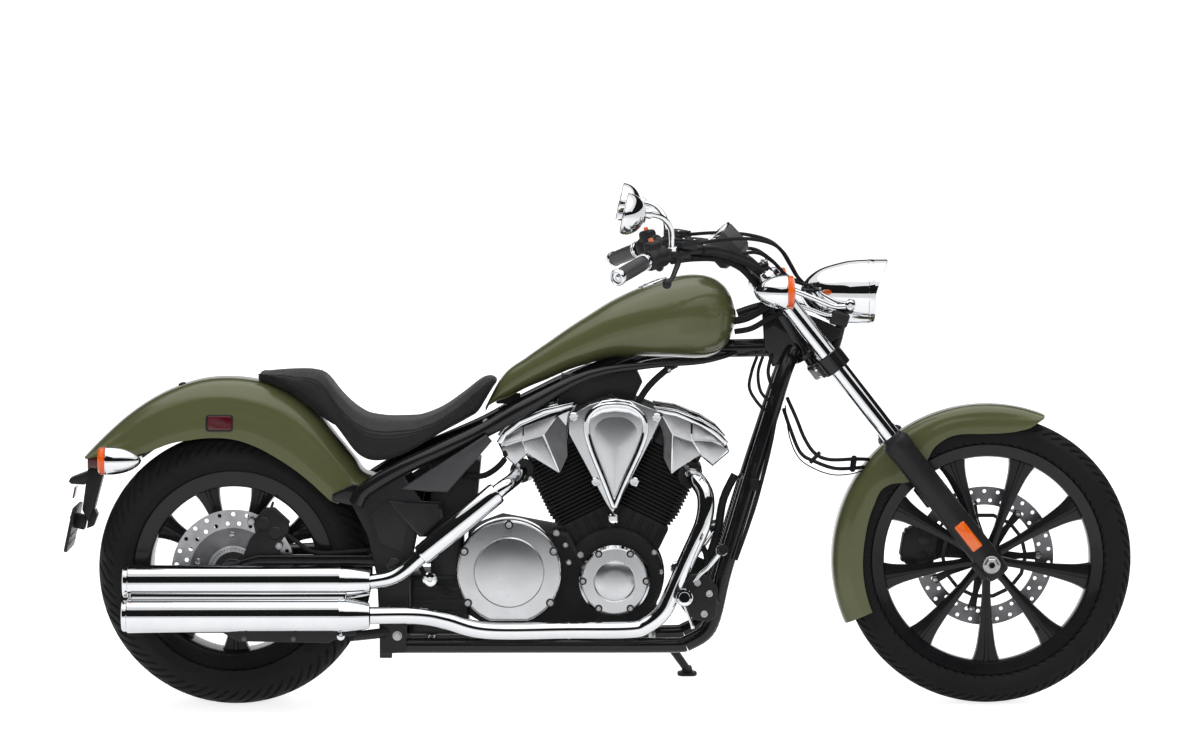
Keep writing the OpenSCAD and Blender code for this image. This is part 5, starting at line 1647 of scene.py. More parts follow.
@dataclass(frozen=True)
class Engine:
    """V-twin engine: finned cylinders in a narrow V, polished covers and a black crankcase."""

    crank: tuple[float, float] = (908.0, 313.0)
    bank: float = 26.0
    deck: float = 165.0
    head: float = 330.0
    fins: int = 18

    def bank_seat(self, side: int) -> Seat3:
        """Axes of a cylinder: forward, left, and up its bore."""
        a = np.radians(self.bank * side)
        return Seat3(np.array([self.crank[0], 0, self.crank[1]]),
                     np.array([[np.cos(a), 0, -np.sin(a)], [0, 1.0, 0], [np.sin(a), 0, np.cos(a)]]))

    def build(self, shop: Workshop) -> None:
        """Makes the whole engine."""
        self.case(shop)
        for side, name in ((-1, "rear"), (1, "front")):
            self.cylinder(shop, side, name)
        self.heads(shop)
        self.v_cover(shop)
        self.round_covers(shop)
        self.radiator(shop)

    def case(self, shop: Workshop) -> None:
        """Crankcase with its decks, ribs and a parting flange."""
        x, z = self.crank
        drum = revolve([[0, -96], [110, -96], [118, -88], [118, -8], [122, -6], [122, 6], [118, 8], [118, 88],
                        [110, 96], [0, 96]], sideways(x, z), 96)
        rear = slab([[560, 224], [548, 300], [560, 420], [640, 450], [800, 420], [900, 224], [860, 200], [600, 200]],
                    -100, 100, SIDE, 12)
        nose = slab([[820, 196], [990, 196], [1010, 230], [1010, 300], [820, 300]], -92, 92, SIDE, 10)
        decks = [box([136, 148, 69], self.bank_seat(s).moved(0, 0, 130.5), 10) for s in (-1, 1)]
        ribs = []
        for s in (-1, 1):
            seat = self.bank_seat(s)
            ribs += [box([5, 10, 58], seat.moved(u, v, 132), 2) for u in (-52, -26, 0, 26, 52) for v in (-76, 76)]
        arms = [rod([x - 10, s * 70, z + 132], [x - 4, s * 70, z + 70], 11, 14, 16, 3) for s in (-1, 1)]
        shop.add("crankcase_body", [drum, rear, nose] + decks + ribs + arms, ENGINE, ["crankcase"])
        small = [(792, 392), (828, 368), (1002, 372), (1018, 326), (800, 350), (770, 420)]
        shop.add("crankcase_bolts", joined(copies(bolt(6, 5, Head.HEX), [rightward(a, b, -99 if a < 900 else -91)])
                                           for a, b in small).both(), STEEL)

    def cylinder(self, shop: Workshop, side: int, name: str) -> None:
        """A finned barrel: a core and thin rounded fins that grow towards the head."""
        seat = self.bank_seat(side)
        pitch = (self.head - self.deck) / self.fins
        core = slab(rounded(58, 62, 18), self.deck, self.head, seat, 1)
        fins = []
        for k in range(self.fins):
            grow = -6 + 6 * min(1, k / 3)
            fins.append(slab(rounded(74 + grow, 80 + grow, 12), self.deck + pitch * k + 3,
                             self.deck + pitch * k + 3 + pitch * 0.4, seat, 1.2))
        shop.add(f"{name}_barrel", [core] + fins, ENGINE, [f"{name}_cylinder"])

    def heads(self, shop: Workshop) -> None:
        """Polished head covers with facets, over a block that carries them; some facets are the same chrome in
        lighter and darker tones, as painted reflection and painted shade.
        """
        rear = [[632, 634], [642, 656], [686, 684], [756, 714], [820, 730], [804, 698], [797, 662], [800, 604],
                [777, 561], [700, 609], [673, 580], [646, 606]]
        front = [[1006, 719], [1057, 709], [1117, 684], [1150, 662], [1176, 635], [1183, 615], [1142, 580],
                 [1112, 606], [1044, 559], [1022, 600], [1024, 662], [1012, 690]]
        blocks = [box([122, 160, 62], self.bank_seat(s).moved(0, 0, self.head + 31), 8) for s in (-1, 1)]
        side = SIDE
        covers = [slab(o, 80.2, 112, side, 9).both() for o in (rear, front)]
        rims = [slab([[628, 640], [646, 668], [681, 695], [740, 720], [812, 735], [808, 722], [742, 706], [684, 680],
                      [652, 654], [640, 632]], 84, 117, side, 4),
                slab([[1002, 723], [1057, 715], [1119, 690], [1154, 667], [1180, 638], [1172, 630], [1146, 654],
                      [1113, 676], [1055, 700], [1008, 709]], 84, 117, side, 4)]
        shop.add("head_blocks", blocks, SATIN, ["head_covers"])
        shop.add("head_cover_shells", covers + [r.both() for r in rims], CHROME)
        # Facets of the chrome covers in three tones of the one chrome: satin chrome, grey steel and dark grey metal.
        # The tones are painted reflection and painted shade, not a different metal.
        for name, finish, shapes in (
                ("panels", SATIN_CHROME, (
                    [[640, 626], [688, 643], [698, 614], [673, 584], [648, 607]],
                    [[691, 640], [738, 655], [776, 566], [701, 612]],
                    [[1093, 640], [1048, 655], [1046, 566], [1112, 609]],
                    [[1178, 622], [1140, 642], [1097, 642], [1116, 607], [1143, 585]])),
                ("uppers", STEEL, (
                    [[643, 632], [650, 652], [690, 676], [690, 646]],
                    [[693, 643], [693, 676], [771, 704], [740, 659]],
                    [[1090, 645], [1090, 692], [1020, 708], [1050, 659]],
                    [[1094, 645], [1094, 690], [1140, 664], [1172, 632], [1140, 643]])),
                ("shades", GREY_METAL, (
                    [[742, 657], [774, 702], [795, 676], [797, 606], [779, 566]],
                    [[1045, 657], [1020, 704], [1016, 690], [1027, 664], [1025, 602], [1043, 564]]))):
            shop.add(f"head_cover_{name}", (slab(o, 111, 116, side, 1.6, 2.2).both() for o in shapes), finish,
                     slot="chrome")

    def v_cover(self, shop: Workshop) -> None:
        """Centre cover between the banks: a broad V with a raised teardrop ring and a hollow face."""
        side = SIDE
        outline = [[800, 700], [849, 730], [899, 745], [948, 740], [1010, 715], [1014, 685], [998, 651], [918, 492],
                   [904, 470], [889, 492], [800, 660]]
        base = slab(outline, 116.2, 124, side, 5)
        shop.add("v_cover_base", base.both(), SATIN_CHROME, ["v_covers"])
        drop = np.array([[842, 668], [846, 700], [872, 724], [910, 730], [948, 724], [976, 700], [982, 668],
                         [968, 622], [934, 548], [912, 496], [908, 488], [904, 496], [884, 548], [854, 622]], float)
        path = np.column_stack([drop[:, 0], np.full(len(drop), -125.0), drop[:, 1]])
        ring = tube(path, 8.5, 20, 8, (0, 1, 0.02), 1.0, True)
        crown = slab([[836, 672], [844, 712], [878, 740], [911, 745], [946, 740], [980, 712], [988, 672], [972, 694],
                      [944, 709], [911, 713], [878, 709], [852, 694]], 118, 131, side, 6)
        face = slab(np.column_stack([911 + (drop[:, 0] - 911) * 0.9, 616 + (drop[:, 1] - 616) * 0.9]), 116, 121,
                    side, 1, 9, 6)
        shop.add("v_cover_ring", [ring.both(), crown.both()], CHROME)
        shop.add("v_cover_face", face.both(), SATIN_CHROME)
        spots = [(811, 700), (1009, 698), (864, 545), (956, 545)]
        heads = joined(copies(revolve([[0, 0], [11, 0], [11, 4], [9, 6], [5, 6], [4.4, 3], [0, 3]], LOCAL, 24),
                              [rightward(a, b, -122)]) for a, b in spots)
        foot = copies(revolve([[0, -16], [13, -16], [13, 4], [10, 7], [0, 8]], LOCAL, 28),
                      [rightward(905, 456, -112)])
        shop.add("v_cover_bolts", (heads + foot).both(), CHROME)

    def round_covers(self, shop: Workshop) -> None:
        """Clutch cover with its flat foot, the cover over the crankshaft, and their twins on the left."""
        side = SIDE
        t = np.linspace(0, TAU, 120, endpoint=False)

        def cut_disc(x: float, z: float, r: float, foot: float) -> Array:
            """Outline of a disc cut off flat below foot."""
            return np.column_stack([x + r * np.cos(t), np.maximum(z + r * np.sin(t), foot)])

        body = slab(cut_disc(658, 335, 125, 218), -100.2, -170, side, 8)
        face = slab(cut_disc(658, 335, 121, 222), -166, -175.5, side, 3)
        shop.add("clutch_cover", body, CHROME, ["engine_covers"])
        shop.add("clutch_face", face, SATIN_CHROME)
        dish = revolve([[0, 0], [83, 0], [84, 3], [81, 6], [60, 10.5], [30, 13.2], [0, 14]],
                       rightward(658, 335, -175.2), 96)
        shop.add("clutch_dish", dish, SATIN_CHROME)
        drum = revolve([[0, 0], [84, 0], [84, 56], [78, 64], [0, 64]], rightward(908, 313, -100.2), 96)
        rim = revolve([[46, 63.5], [76, 63.5], [79, 66], [76, 69], [50, 70], [46, 67]], rightward(908, 313, -100.2),
                      96, True)
        hub = revolve([[0, 64], [47, 64], [48, 67], [45, 69.5], [24, 72.8], [0, 74]], rightward(908, 313, -100.2), 96)
        shop.add("crank_cover", drum, CHROME)
        shop.add("crank_cover_rim", rim, SATIN_CHROME)
        shop.add("crank_cover_hub", hub, SATIN_CHROME)
        left = revolve([[0, 100.2], [104, 100.2], [104, 140], [96, 150], [60, 152], [56, 148], [20, 147], [0, 148]],
                       sideways(908, 313), 96)
        left_rear = revolve([[0, 100.2], [100, 100.2], [100, 136], [92, 145], [56, 146], [50, 142], [0, 143]],
                            sideways(658, 335), 96)
        link = slab([[658, 250], [658, 420], [908, 404], [908, 222]], 100.2, 138, side, 6)
        shop.add("primary_cover", [left, left_rear, link], SATIN_CHROME)
        pods, caps = [], []
        wells = [(658, 448), (552, 385), (764, 385), (560, 262), (756, 262)]
        wells += [(908 + 75 * np.cos(a), 313 + 75 * np.sin(a)) for a in np.radians([60, 120, 180, 240, 300, 0])]
        for k, (a, b) in enumerate(wells):
            depth = -174 if k < 5 else -168
            r = 10.5 if k < 5 else 9
            pods.append(revolve([[0, 0], [r, 0], [r, 2.6], [r - 1, 3.6], [0, 3.6]], rightward(a, b, depth), 24))
            caps.append(copies(bolt(r - 3.6, 4.4), [rightward(a, b, depth - 3.2)]))
        left_bolts = [copies(bolt(6.5, 5), [sideways(908 + 82 * np.cos(a), 313 + 82 * np.sin(a), 149)])
                      for a in np.radians(np.arange(0, 360, 60))]
        left_bolts += [copies(bolt(6.5, 5), [sideways(658 + 78 * np.cos(a), 335 + 78 * np.sin(a), 144)])
                       for a in np.radians(np.arange(30, 360, 60))]
        shop.add("cover_bolt_wells", pods, SATIN)
        shop.add("cover_bolts", caps + left_bolts, STEEL)

    @staticmethod
    def radiator(shop: Workshop) -> None:
        """Radiator between the downtubes, with thin core fins and two hose necks."""
        tilt = np.radians(17)
        axes = np.array([[0, 1.0, 0], [np.sin(tilt), 0, np.cos(tilt)], [np.cos(tilt), 0, -np.sin(tilt)]])
        seat = Seat3(np.array([1196.0, 0, 420]), axes)
        core = box([148, 276, 34], seat.moved(0, -10, 0), 4)
        tanks = [box([26, 280, 46], seat.moved(s * 64, -10, 0), 8) for s in (-1, 1)]
        fins = [box([108, 2.2, 42], seat.moved(0, -136 + 9 * k, 0), 0.6) for k in range(29)]
        necks = [rod(seat.at([-100, -100, -4]), seat.at([100, -100, -4]), 9, 9, 16, 1),
                 rod(seat.at([-86, 80, -4]), seat.at([86, 80, -4]), 9, 9, 16, 1)]
        shop.add("radiator_core", [core] + tanks + fins + necks, SATIN, ["radiator"])


@dataclass(frozen=True)
class Exhaust:
    """Two chrome header pipes and two stacked mufflers on the right."""

    front: tuple = ((1082, -84, 566), (1106, -134, 548), (1124, -160, 512), (1118, -172, 452), (1082, -176, 369),
                    (1044, -178, 282), (1020, -180, 238), (984, -180, 210), (945, -180, 199), (800, -181, 198),
                    (603, -184, 198), (504, -196, 224), (436, -212, 237), (330, -222, 238))
    rear: tuple = ((690, -84, 574), (668, -140, 552), (634, -180, 529), (542, -183, 451), (450, -186, 374),
                   (410, -188, 340), (376, -190, 322), (330, -190, 314))

    def build(self, shop: Workshop) -> None:
        """Makes the pipes, shields, mufflers and hanger."""
        pipe = tube(self.front, 20.6, 28, 8)
        seam = revolve([[20.8, -1.5], [22, -1.5], [22, 1.5], [20.8, 1.5]], looking([800, -181, 198], [1, 0, 0]), 40,
                       True)
        ports = [looking([1086, -88, 563], [0.4, -0.9, -0.3]), looking([686, -92, 571], [0.4, -0.85, -0.2])]
        flange = revolve([[0, 0], [30, 0], [31, 2], [31, 10], [28, 12], [0, 12]], ports[0], 32)
        shop.add("front_header", pipe + seam, CHROME, ["front_exhaust"])
        rear = tube(self.rear, 18.2, 24, 8)
        a, b = np.array(self.rear[2], float), np.array(self.rear[4], float)
        length = float(np.linalg.norm(b - a))
        shield_seat = looking(a, (b - a) / length)
        shield = revolve([[19, 2], [25, 4], [27, 10], [27, length - 8], [25.5, length - 2], [19, length],
                          [18.6, length - 4], [18.6, 6]], shield_seat, 48, True)
        collar = revolve([[0, 0], [29, 0], [30, 3], [30, 9], [27, 12], [0, 12]], ports[1], 32)
        shop.add("rear_header", rear + shield, CHROME, ["rear_exhaust"])
        shop.add("port_flanges", flange + collar, ENGINE)
        studs = [copies(bolt(6, 9, Head.HEX), circle_of(2, 24, port, 70, 10)) for port in ports]
        shop.add("port_studs", studs, STEEL)
        body = [[24, -252], [33, -254], [36.5, -252], [37, -246], [37, -243], [40, -241], [40.6, -238], [40.6, 256],
                [41.2, 257.5], [41.2, 261.5], [40.6, 263], [40, 276], [38, 292], [33, 318], [30, 329], [23, 330]]
        inside = [[22, 330], [22, 200], [24, -186], [24, -240]]
        lines = [Seat3(np.array([0.0, y, z]), np.array([[0, 1.0, 0], [0, 0, 1.0], [1.0, 0, 0]]))
                 for y, z in ((-190, 314), (-222, 238))]
        cans = [revolve(body + inside, line, 96, True) for line in lines]
        shop.add("muffler_cans", cans, CHROME, ["mufflers"])
        baffles = [revolve([[0, -190], [23.8, -190], [23.8, -184], [0, -184]], line, 32) for line in lines]
        hanger = slab([[-16, 198], [20, 178], [232, 174], [262, 188], [296, 192], [296, 204], [-16, 204]],
                      -232, -208, SIDE, 3)
        arm = tube([[286, -214, 188], [322, -186, 188], [362, -146, 188]], 12, 16)
        shop.add("muffler_hanger", [hanger, arm] + baffles, SATIN)
        filler = slab([[-236, 258], [-236, 294], [276, 294], [276, 258]], -229, -176, SIDE, 8)
        shop.add("muffler_filler", filler, CHROME)
        nuts = joined(copies(bolt(5, 4, Head.HEX), [rightward(a_, 184, -231.5)]) for a_ in (34, 150))
        shop.add("hanger_bolts", nuts, GREY_METAL)
        button = copies(revolve([[0, 0], [17, 0], [17, 6], [14, 9], [6, 10], [5, 6], [0, 6]], LOCAL, 32),
                        [rightward(470, 316, -150)])
        stem = rod([470, -118, 316], [470, -152, 316], 10)
        acorn = revolve([[0, 0], [9, 0], [9, 5], [6.5, 6], [6, 10], [3, 13], [0, 13.6]], rightward(262, 190, -231),
                        20)
        shop.add("pipe_mount", button + stem + acorn, CHROME)


# ---- rear end and foot controls -------------------------------------------------------------


@dataclass(frozen=True)
class RearEnd:
    """Swingarm with its drive shaft, axle, caliper and foot controls."""

    def build(self, shop: Workshop) -> None:
        """Makes the rear end."""
        side = SIDE
        arm = slab([[-24, 312], [-24, 346], [60, 371], [340, 371], [396, 366], [400, 336], [340, 343], [60, 343]],
                   -126, -107, side, 5)
        eye = revolve([[14.2, -126], [32, -126], [34, -124], [34, -109], [32, -107], [14.2, -107]],
                      sideways(0, REAR_R), 48, True)
        shaft = tube([[20, 134, 334.6], [110, 134, 339], [250, 134, 345], [400, 134, 352]], [30, 31, 32, 34], 32)
        drive = revolve([[14.2, 82], [66, 82], [72, 88], [72, 118], [75, 120], [75, 128], [72, 130], [72, 150],
                         [60, 162], [46, 168], [14.2, 168]], sideways(0, REAR_R), 72, True)
        pivot = revolve([[0, -152], [15, -152], [17, -150], [17, 150], [15, 152], [0, 152]], sideways(384, 350), 32)
        ribs = [slab([[70 * np.cos(a), REAR_R + 70 * np.sin(a)],
                      [78 * np.cos(a + 0.06), REAR_R + 78 * np.sin(a + 0.06)],
                      [78 * np.cos(a - 0.06), REAR_R + 78 * np.sin(a - 0.06)]], 90, 148, side, 1)
                for a in np.radians(np.arange(40, 330, 29))]
        shop.add("swingarm_and_drive", [arm, eye, shaft, drive, pivot] + ribs, GLOSS, ["swingarm"])
        heads = [copies(bolt(6, 5), circle_of(8, 60, sideways(0, REAR_R), 22, 161))]
        shop.add("drive_bolts", heads, STEEL)
        pin = revolve([[8, -138], [14, -138], [14, 151], [8, 151]], sideways(0, REAR_R), 32, True)
        nut = revolve([[8, -139], [21, -139], [22, -138], [22, -129], [21, -127.4], [8, -127.4]],
                      sideways(0, REAR_R), 6, True)
        shop.add("rear_axle_pin", pin + nut, STEEL, ["rear_axle"])
        self.caliper(shop)
        self.feet(shop)

    @staticmethod
    def caliper(shop: Workshop) -> None:
        """Rear caliper over the disc: two halves with a bridge, piston caps, bleed screw and hose."""
        seat = sideways(0, REAR_R).turned(50)
        halves = [slab([[108, -38], [106, 20], [122, 40], [164, 40], [180, 22], [178, -22], [160, -40], [124, -40]],
                       a, b, seat, 4) for a, b in ((-104, -93.4), (-83.6, -68.4))]
        bridge = box([20, 58, 34], seat.moved(168, 0, -86), 5)
        cups = copies(revolve([[0, 0], [16, 0], [16, 4], [13, 6], [0, 6.4]], LOCAL, 32),
                      [flipped(seat.moved(136, v, -103)) for v in (-18, 18)])
        lugs = [rod(seat.at([118, -44, -90]), seat.at([118, -44, -108]), 9, 9, 16, 1),
                rod(seat.at([120, 44, -90]), seat.at([120, 44, -108]), 9, 9, 16, 1)]
        plate = slab([[20, 356], [110, 356], [116, 416], [70, 440], [40, 406]], -106.4, -103.6, SIDE, 1)
        screw = rod(seat.at([170, 26, -96]), seat.at([190, 34, -98]), 4, 3, 10, 1)
        link = tube([seat.at([150, -40, -98]), [150, -104, 402], [196, -112, 376], [280, -116, 378],
                     [352, -110, 384]], 5.5, 10)
        shop.add("rear_caliper_body", [halves[0], halves[1], bridge, cups, plate, screw] + lugs, SATIN,
                 ["rear_caliper"])
        shop.add("rear_brake_hose", link, RUBBER)
        shop.add("rear_caliper_bolts", copies(bolt(6.5, 5, Head.HEX), [flipped(seat.moved(u, v, -107.5)) for u, v in
                                                                        ((118, -44), (120, 44))]), STEEL)

    @staticmethod
    def feet(shop: Workshop) -> None:
        """Forward foot controls on both sides: bracket, folding peg, pedal and feeler."""
        side = SIDE
        plate = slab([[1060, 262], [1076, 240], [1096, 224], [1130, 218], [1148, 232], [1152, 300], [1134, 324],
                      [1112, 334], [1088, 330], [1060, 294]], 182, 194, side, 3)
        stay = rod([1152, 132, 262], [1113, 189, 262], 11, 11, 20)
        seat = looking([1072, 186, 276], [-2, 120, 14])
        peg = revolve([[0, 0], [17, 0], [17, 14], [13, 18]] + [[13.4 + 1.6 * (k % 2), 22 + 5 * k] for k in range(16)]
                      + [[13, 104], [0, 104]], seat, 36)
        shop.add("peg_brackets", joined([plate, stay, peg]).both(), SATIN, ["foot_controls"])
        end = revolve([[0, 103], [18, 103], [20, 106], [20, 124], [18, 128], [13, 129], [12, 126], [0, 126]], seat,
                      40)
        clamp = revolve([[17.2, 1], [21, 2], [21, 11], [17.2, 12]], seat, 36, True)
        arm = tube([[1099, 188, 316], [1114, 204, 336], [1130, 214, 352], [1162, 234, 395]], [9, 8, 7, 8], 16, 6,
                   (1, 0.2, -0.8), 0.7)
        eye = revolve([[7, -8], [13, -8], [14, -6], [14, 6], [13, 8], [7, 8]],
                      looking([1160, 233, 394], [0, 1, 0.1]), 32, True)
        pad = rod([1162, 230, 394], [1162, 292, 402], 11.5, 11.5, 24, 2)
        feeler = tube([[1072, 296, 268], [1080, 298, 248], [1088, 300, 226], [1090, 300, 216]], 4, 10)
        shop.add("peg_ends", joined([end, clamp, arm, eye, feeler]).both(), CHROME)
        shop.add("pedal_pads", pad.both(), RUBBER)
        heads = joined(copies(bolt(8.5, 5), [sideways(a, b, 193.6)]) for a, b in
                       ((1132, 286), (1120, 238), (1104, 312)))
        shop.add("peg_bolts", heads.both(), STEEL)


# ---- front end ------------------------------------------------------------------------------


@dataclass(frozen=True)
class FrontFork:
    """Raked telescopic fork with its clamps, axle, caliper and the hoses that reach it.

    Attributes:
        body: the body that it rides on.
        angle: lean of the legs from the vertical, in degrees.
        half: distance of a leg from the middle.
        tube_r: radius of the chrome tubes.
    """

    body: str = "steering"
    angle: float = 38.0
    half: float = 105.0
    tube_r: float = 22.5

    def leg(self, side: int = 0) -> Seat3:
        """Axes of a leg: forward and up, left, and up along it."""
        a = np.radians(self.angle)
        return Seat3(np.array([WHEELBASE, side * self.half, FRONT_R]),
                     np.array([[np.cos(a), 0, np.sin(a)], [0, 1.0, 0], [-np.sin(a), 0, np.cos(a)]]))

    def build(self, shop: Workshop) -> None:
        """Makes the whole fork."""
        self.legs(shop)
        self.clamps(shop)
        self.axle(shop)
        self.caliper(shop)
        self.hoses(shop)

    def legs(self, shop: Workshop) -> None:
        """Tubes with capped tops, and sliders with a seal, a square foot and a reflector."""
        r = self.tube_r
        tube_ = [[0, 250], [r, 250], [r, 866], [r - 1, 870], [17, 879], [14, 880], [13, 876], [0, 876]]
        shop.add("fork_tube_pair", revolve(tube_, self.leg(1), 64).both(), CHROME, ["fork_tubes"])
        nuts = copies(bolt(10, 3.6, Head.HEX), [self.leg(1).moved(0, 0, 875.6)])
        shop.add("fork_top_nuts", nuts.both(), STEEL)
        slider = [[0, -36], [24, -36], [27, -34.5], [28, -32], [30, -24], [31, -10], [32, 40], [32, 336], [33, 341],
                  [34, 346], [34, 368], [33, 372], [30.5, 374], [30, 376.5], [29, 377.5], [25.5, 378.5], [25, 384],
                  [23.6, 386.5], [22.6, 387], [22.6, 380], [0, 380]]
        leg = self.leg(1)
        lugs = [box([30, 16, 46], leg.moved(-26, 2, 2), 5), box([16, 22, 34], leg.moved(-30, -10, 212), 5)]
        shop.add("fork_slider_pair", joined([revolve(slider, leg, 64)] + lugs).both(), SATIN,
                 ["fork_sliders"])
        pad = box([28, 76, 8], Seat3(leg.at([-2, 30.5, 87]), np.stack([leg.axes[0], leg.axes[2], leg.axes[1]])), 4)
        shop.add("fork_reflectors", pad.both(), AMBER)

    def clamps(self, shop: Workshop) -> None:
        """Upper and lower clamps with pinch bolts, the stem, bar posts and lamp bracket."""
        middle = self.leg()

        def bridge(back: float) -> list[list[float]]:
            """Outline of the plate that joins the legs to the stem behind them."""
            return [[back, -26], [back, 26], [back / 2, 72], [-16, 105], [16, 105], [12, 60], [4, 0], [12, -60],
                    [16, -105], [-16, -105], [back / 2, -72]]

        plates = [slab(bridge(-60), 592, 632, middle, 7), slab(bridge(-40), 827, 855, middle, 6)]
        rings = [revolve([[22.6, a], [r - 2, a], [r, a + 2], [r, b - 2], [r - 2, b], [22.6, b]], self.leg(1), 56,
                         True)
                 for a, b, r in ((590, 635, 34.5), (825, 857, 32.5))]
        ears = [box([24, 16, b - a - 6], self.leg(1).moved(-30, -4, (a + b) / 2), 4)
                for a, b in ((590, 635), (825, 857))]
        stem = revolve([[0, -118], [14, -118], [14, 112], [0, 112]], self.steer_seat(), 32)
        nut = revolve([[0, 96], [22, 96], [22, 104], [19, 108], [0, 110]], self.steer_seat(), 6)
        shop.add("fork_clamp_set", plates + [stem] + [f.both() for f in rings + ears], GLOSS,
                 ["fork_clamps"])
        posts = [rod([1296, 42, 984], [1262, 42, 1038], 13, 12, 28, 2).both()]
        cheek = slab([[1372, 936], [1398, 926], [1452, 902], [1452, 888], [1430, 872], [1410, 862], [1398, 850],
                      [1378, 868], [1366, 902]], 26, 31, SIDE, 2)
        arm = tube([[1432, 0, 836], [1444, 0, 876], [1453, 0, 914]], 12, 20)
        web = box([60, 52, 8], looking([1420, 0, 880], [-0.75, 0, 0.66]), 3)
        shop.add("lamp_bracket", posts + [cheek.both(), arm, web], SATIN)
        spots = joined(copies(bolt(8, 5), [sideways(a, b, 31)]) for a, b in ((1384, 912), (1412, 876)))
        pinch = joined(copies(bolt(6, 5), [Seat3(self.leg(1).at([-42, -4, s]), np.stack(
            [self.leg().axes[2], self.leg().axes[1], -self.leg().axes[0]]))]) for s in (603, 622, 841))
        shop.add("clamp_bolts", [(spots + pinch).both(), nut], CHROME)

    @staticmethod
    def steer_seat() -> Seat3:
        """Axes of the steering head, with the third up along it."""
        a = np.arctan(STEER_SLOPE)
        return Seat3(np.array([STEER_FOOT - 900 * STEER_SLOPE, 0, 900]),
                     np.array([[np.cos(a), 0, np.sin(a)], [0, 1.0, 0], [-np.sin(a), 0, np.cos(a)]]))

    @staticmethod
    def axle(shop: Workshop) -> None:
        """Hollow axle with a washer and a hexagon on each end."""
        hub = sideways(WHEELBASE, FRONT_R)
        pin = revolve([[8, -141], [12.5, -141], [12.5, 141], [8, 141]], hub, 40, True)
        washer = revolve([[12, -141.5], [20, -141.5], [21, -140.5], [21, -137.5], [12, -137.5]], hub, 40, True)
        hexagon = revolve([[8, -150], [14.5, -150], [17.5, -147.5], [17.5, -141], [8, -141]], hub, 6, True)
        shop.add("front_axle_pin", [pin, washer, hexagon], STEEL, ["front_axle"])

    @staticmethod
    def caliper(shop: Workshop) -> None:
        """Front caliper over the disc on the left, with its arm, piston caps, bleed screw and hose."""
        seat = sideways(WHEELBASE, FRONT_R).turned(172)
        halves = [slab([[118, -44], [116, 0], [122, 42], [146, 48], [188, 44], [204, 24], [203, -26], [188, -46],
                        [140, -48]], a, b, seat, 5) for a, b in ((41, 54.6), (70.4, 85))]
        bridge = [box([24, 34, 40], seat.moved(188, v, 63), 6) for v in (-24, 24)]
        arm = slab([[30, -14], [30, 14], [96, 20], [124, 34], [124, -34], [96, -20]], 80, 91, seat, 3)
        cups = copies(revolve([[0, 0], [18, 0], [18, 4], [14, 7], [0, 7.4]], LOCAL, 32),
                      [seat.moved(150, v, 84) for v in (-22, 22)])
        back = copies(revolve([[0, 0], [16, 0], [16, 3], [12, 5], [0, 5.4]], LOCAL, 32),
                      [flipped(seat.moved(150, v, 42)) for v in (-22, 22)])
        shop.add("front_caliper_body", halves + bridge + [arm, back], SATIN, ["front_caliper"])
        shop.add("front_caliper_caps", cups, GREY_METAL)
        heads = copies(bolt(7, 5, Head.HEX), [seat.moved(u, v, 90.5) for u, v in ((108, -14), (108, 14))])
        bleed = rod(seat.at([176, -44, 62]), seat.at([182, -60, 62]), 4.5, 3, 12, 1)
        shop.add("front_caliper_bolts", heads + bleed, STEEL)
        hose = [seat.at([168, -46, 74]), [1622, 78, 452], [1600, 82, 510], [1572, 88, 556], [1548, 92, 580]]
        shop.add("front_brake_hose", tube(hose, 4.5, 12), RUBBER)

    @staticmethod
    def hoses(shop: Workshop) -> None:
        """Two hoses and a thin wire, from the frame to the front fender, held by clips."""
        paths = (
            ((1320.5, -66, 742), (1342, -78, 694), (1362, -92, 645), (1386, -104, 611), (1420, -112, 597),
             (1484, -76, 595), (1518, -30, 590)),
            ((1312, -70, 716), (1328, -80, 668), (1352, -96, 612), (1386, -112, 592), (1430, -118, 577),
             (1474, -80, 573), (1506, -34, 572)),
            ((1316, -74, 724), (1326, -84, 650), (1348, -104, 600), (1386, -122, 575), (1428, -126, 562),
             (1472, -86, 560), (1500, -40, 563)))
        lines = [tube(p, r, 14, 8) for p, r in zip(paths, (4.5, 4.5, 1.6))]
        clips = []
        for k, (a, b) in enumerate(((3, 3), (5, 5))):
            start, end = np.array(paths[0][a], float), np.array(paths[1][b], float)
            along = np.array(paths[0][a + 1], float) - np.array(paths[0][a - 1], float)
            across = (end - start) / np.linalg.norm(end - start)
            mid = (start + end) / 2
            seat = looking(mid, along, across)
            clips.append(slab(rounded(7.5, np.linalg.norm(end - start) / 2 + 8, 7), -4, 4, seat, 2))
        piece = shop.mesh("fork_hoses", joined(lines + clips), RUBBER)
        tuple(shop.stance.place([1322, -66, 736]))
        tuple(shop.stance.place([1500, -40, 588]))
        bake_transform(piece)
        shop.declare(piece, RUBBER, ["front_hoses"])


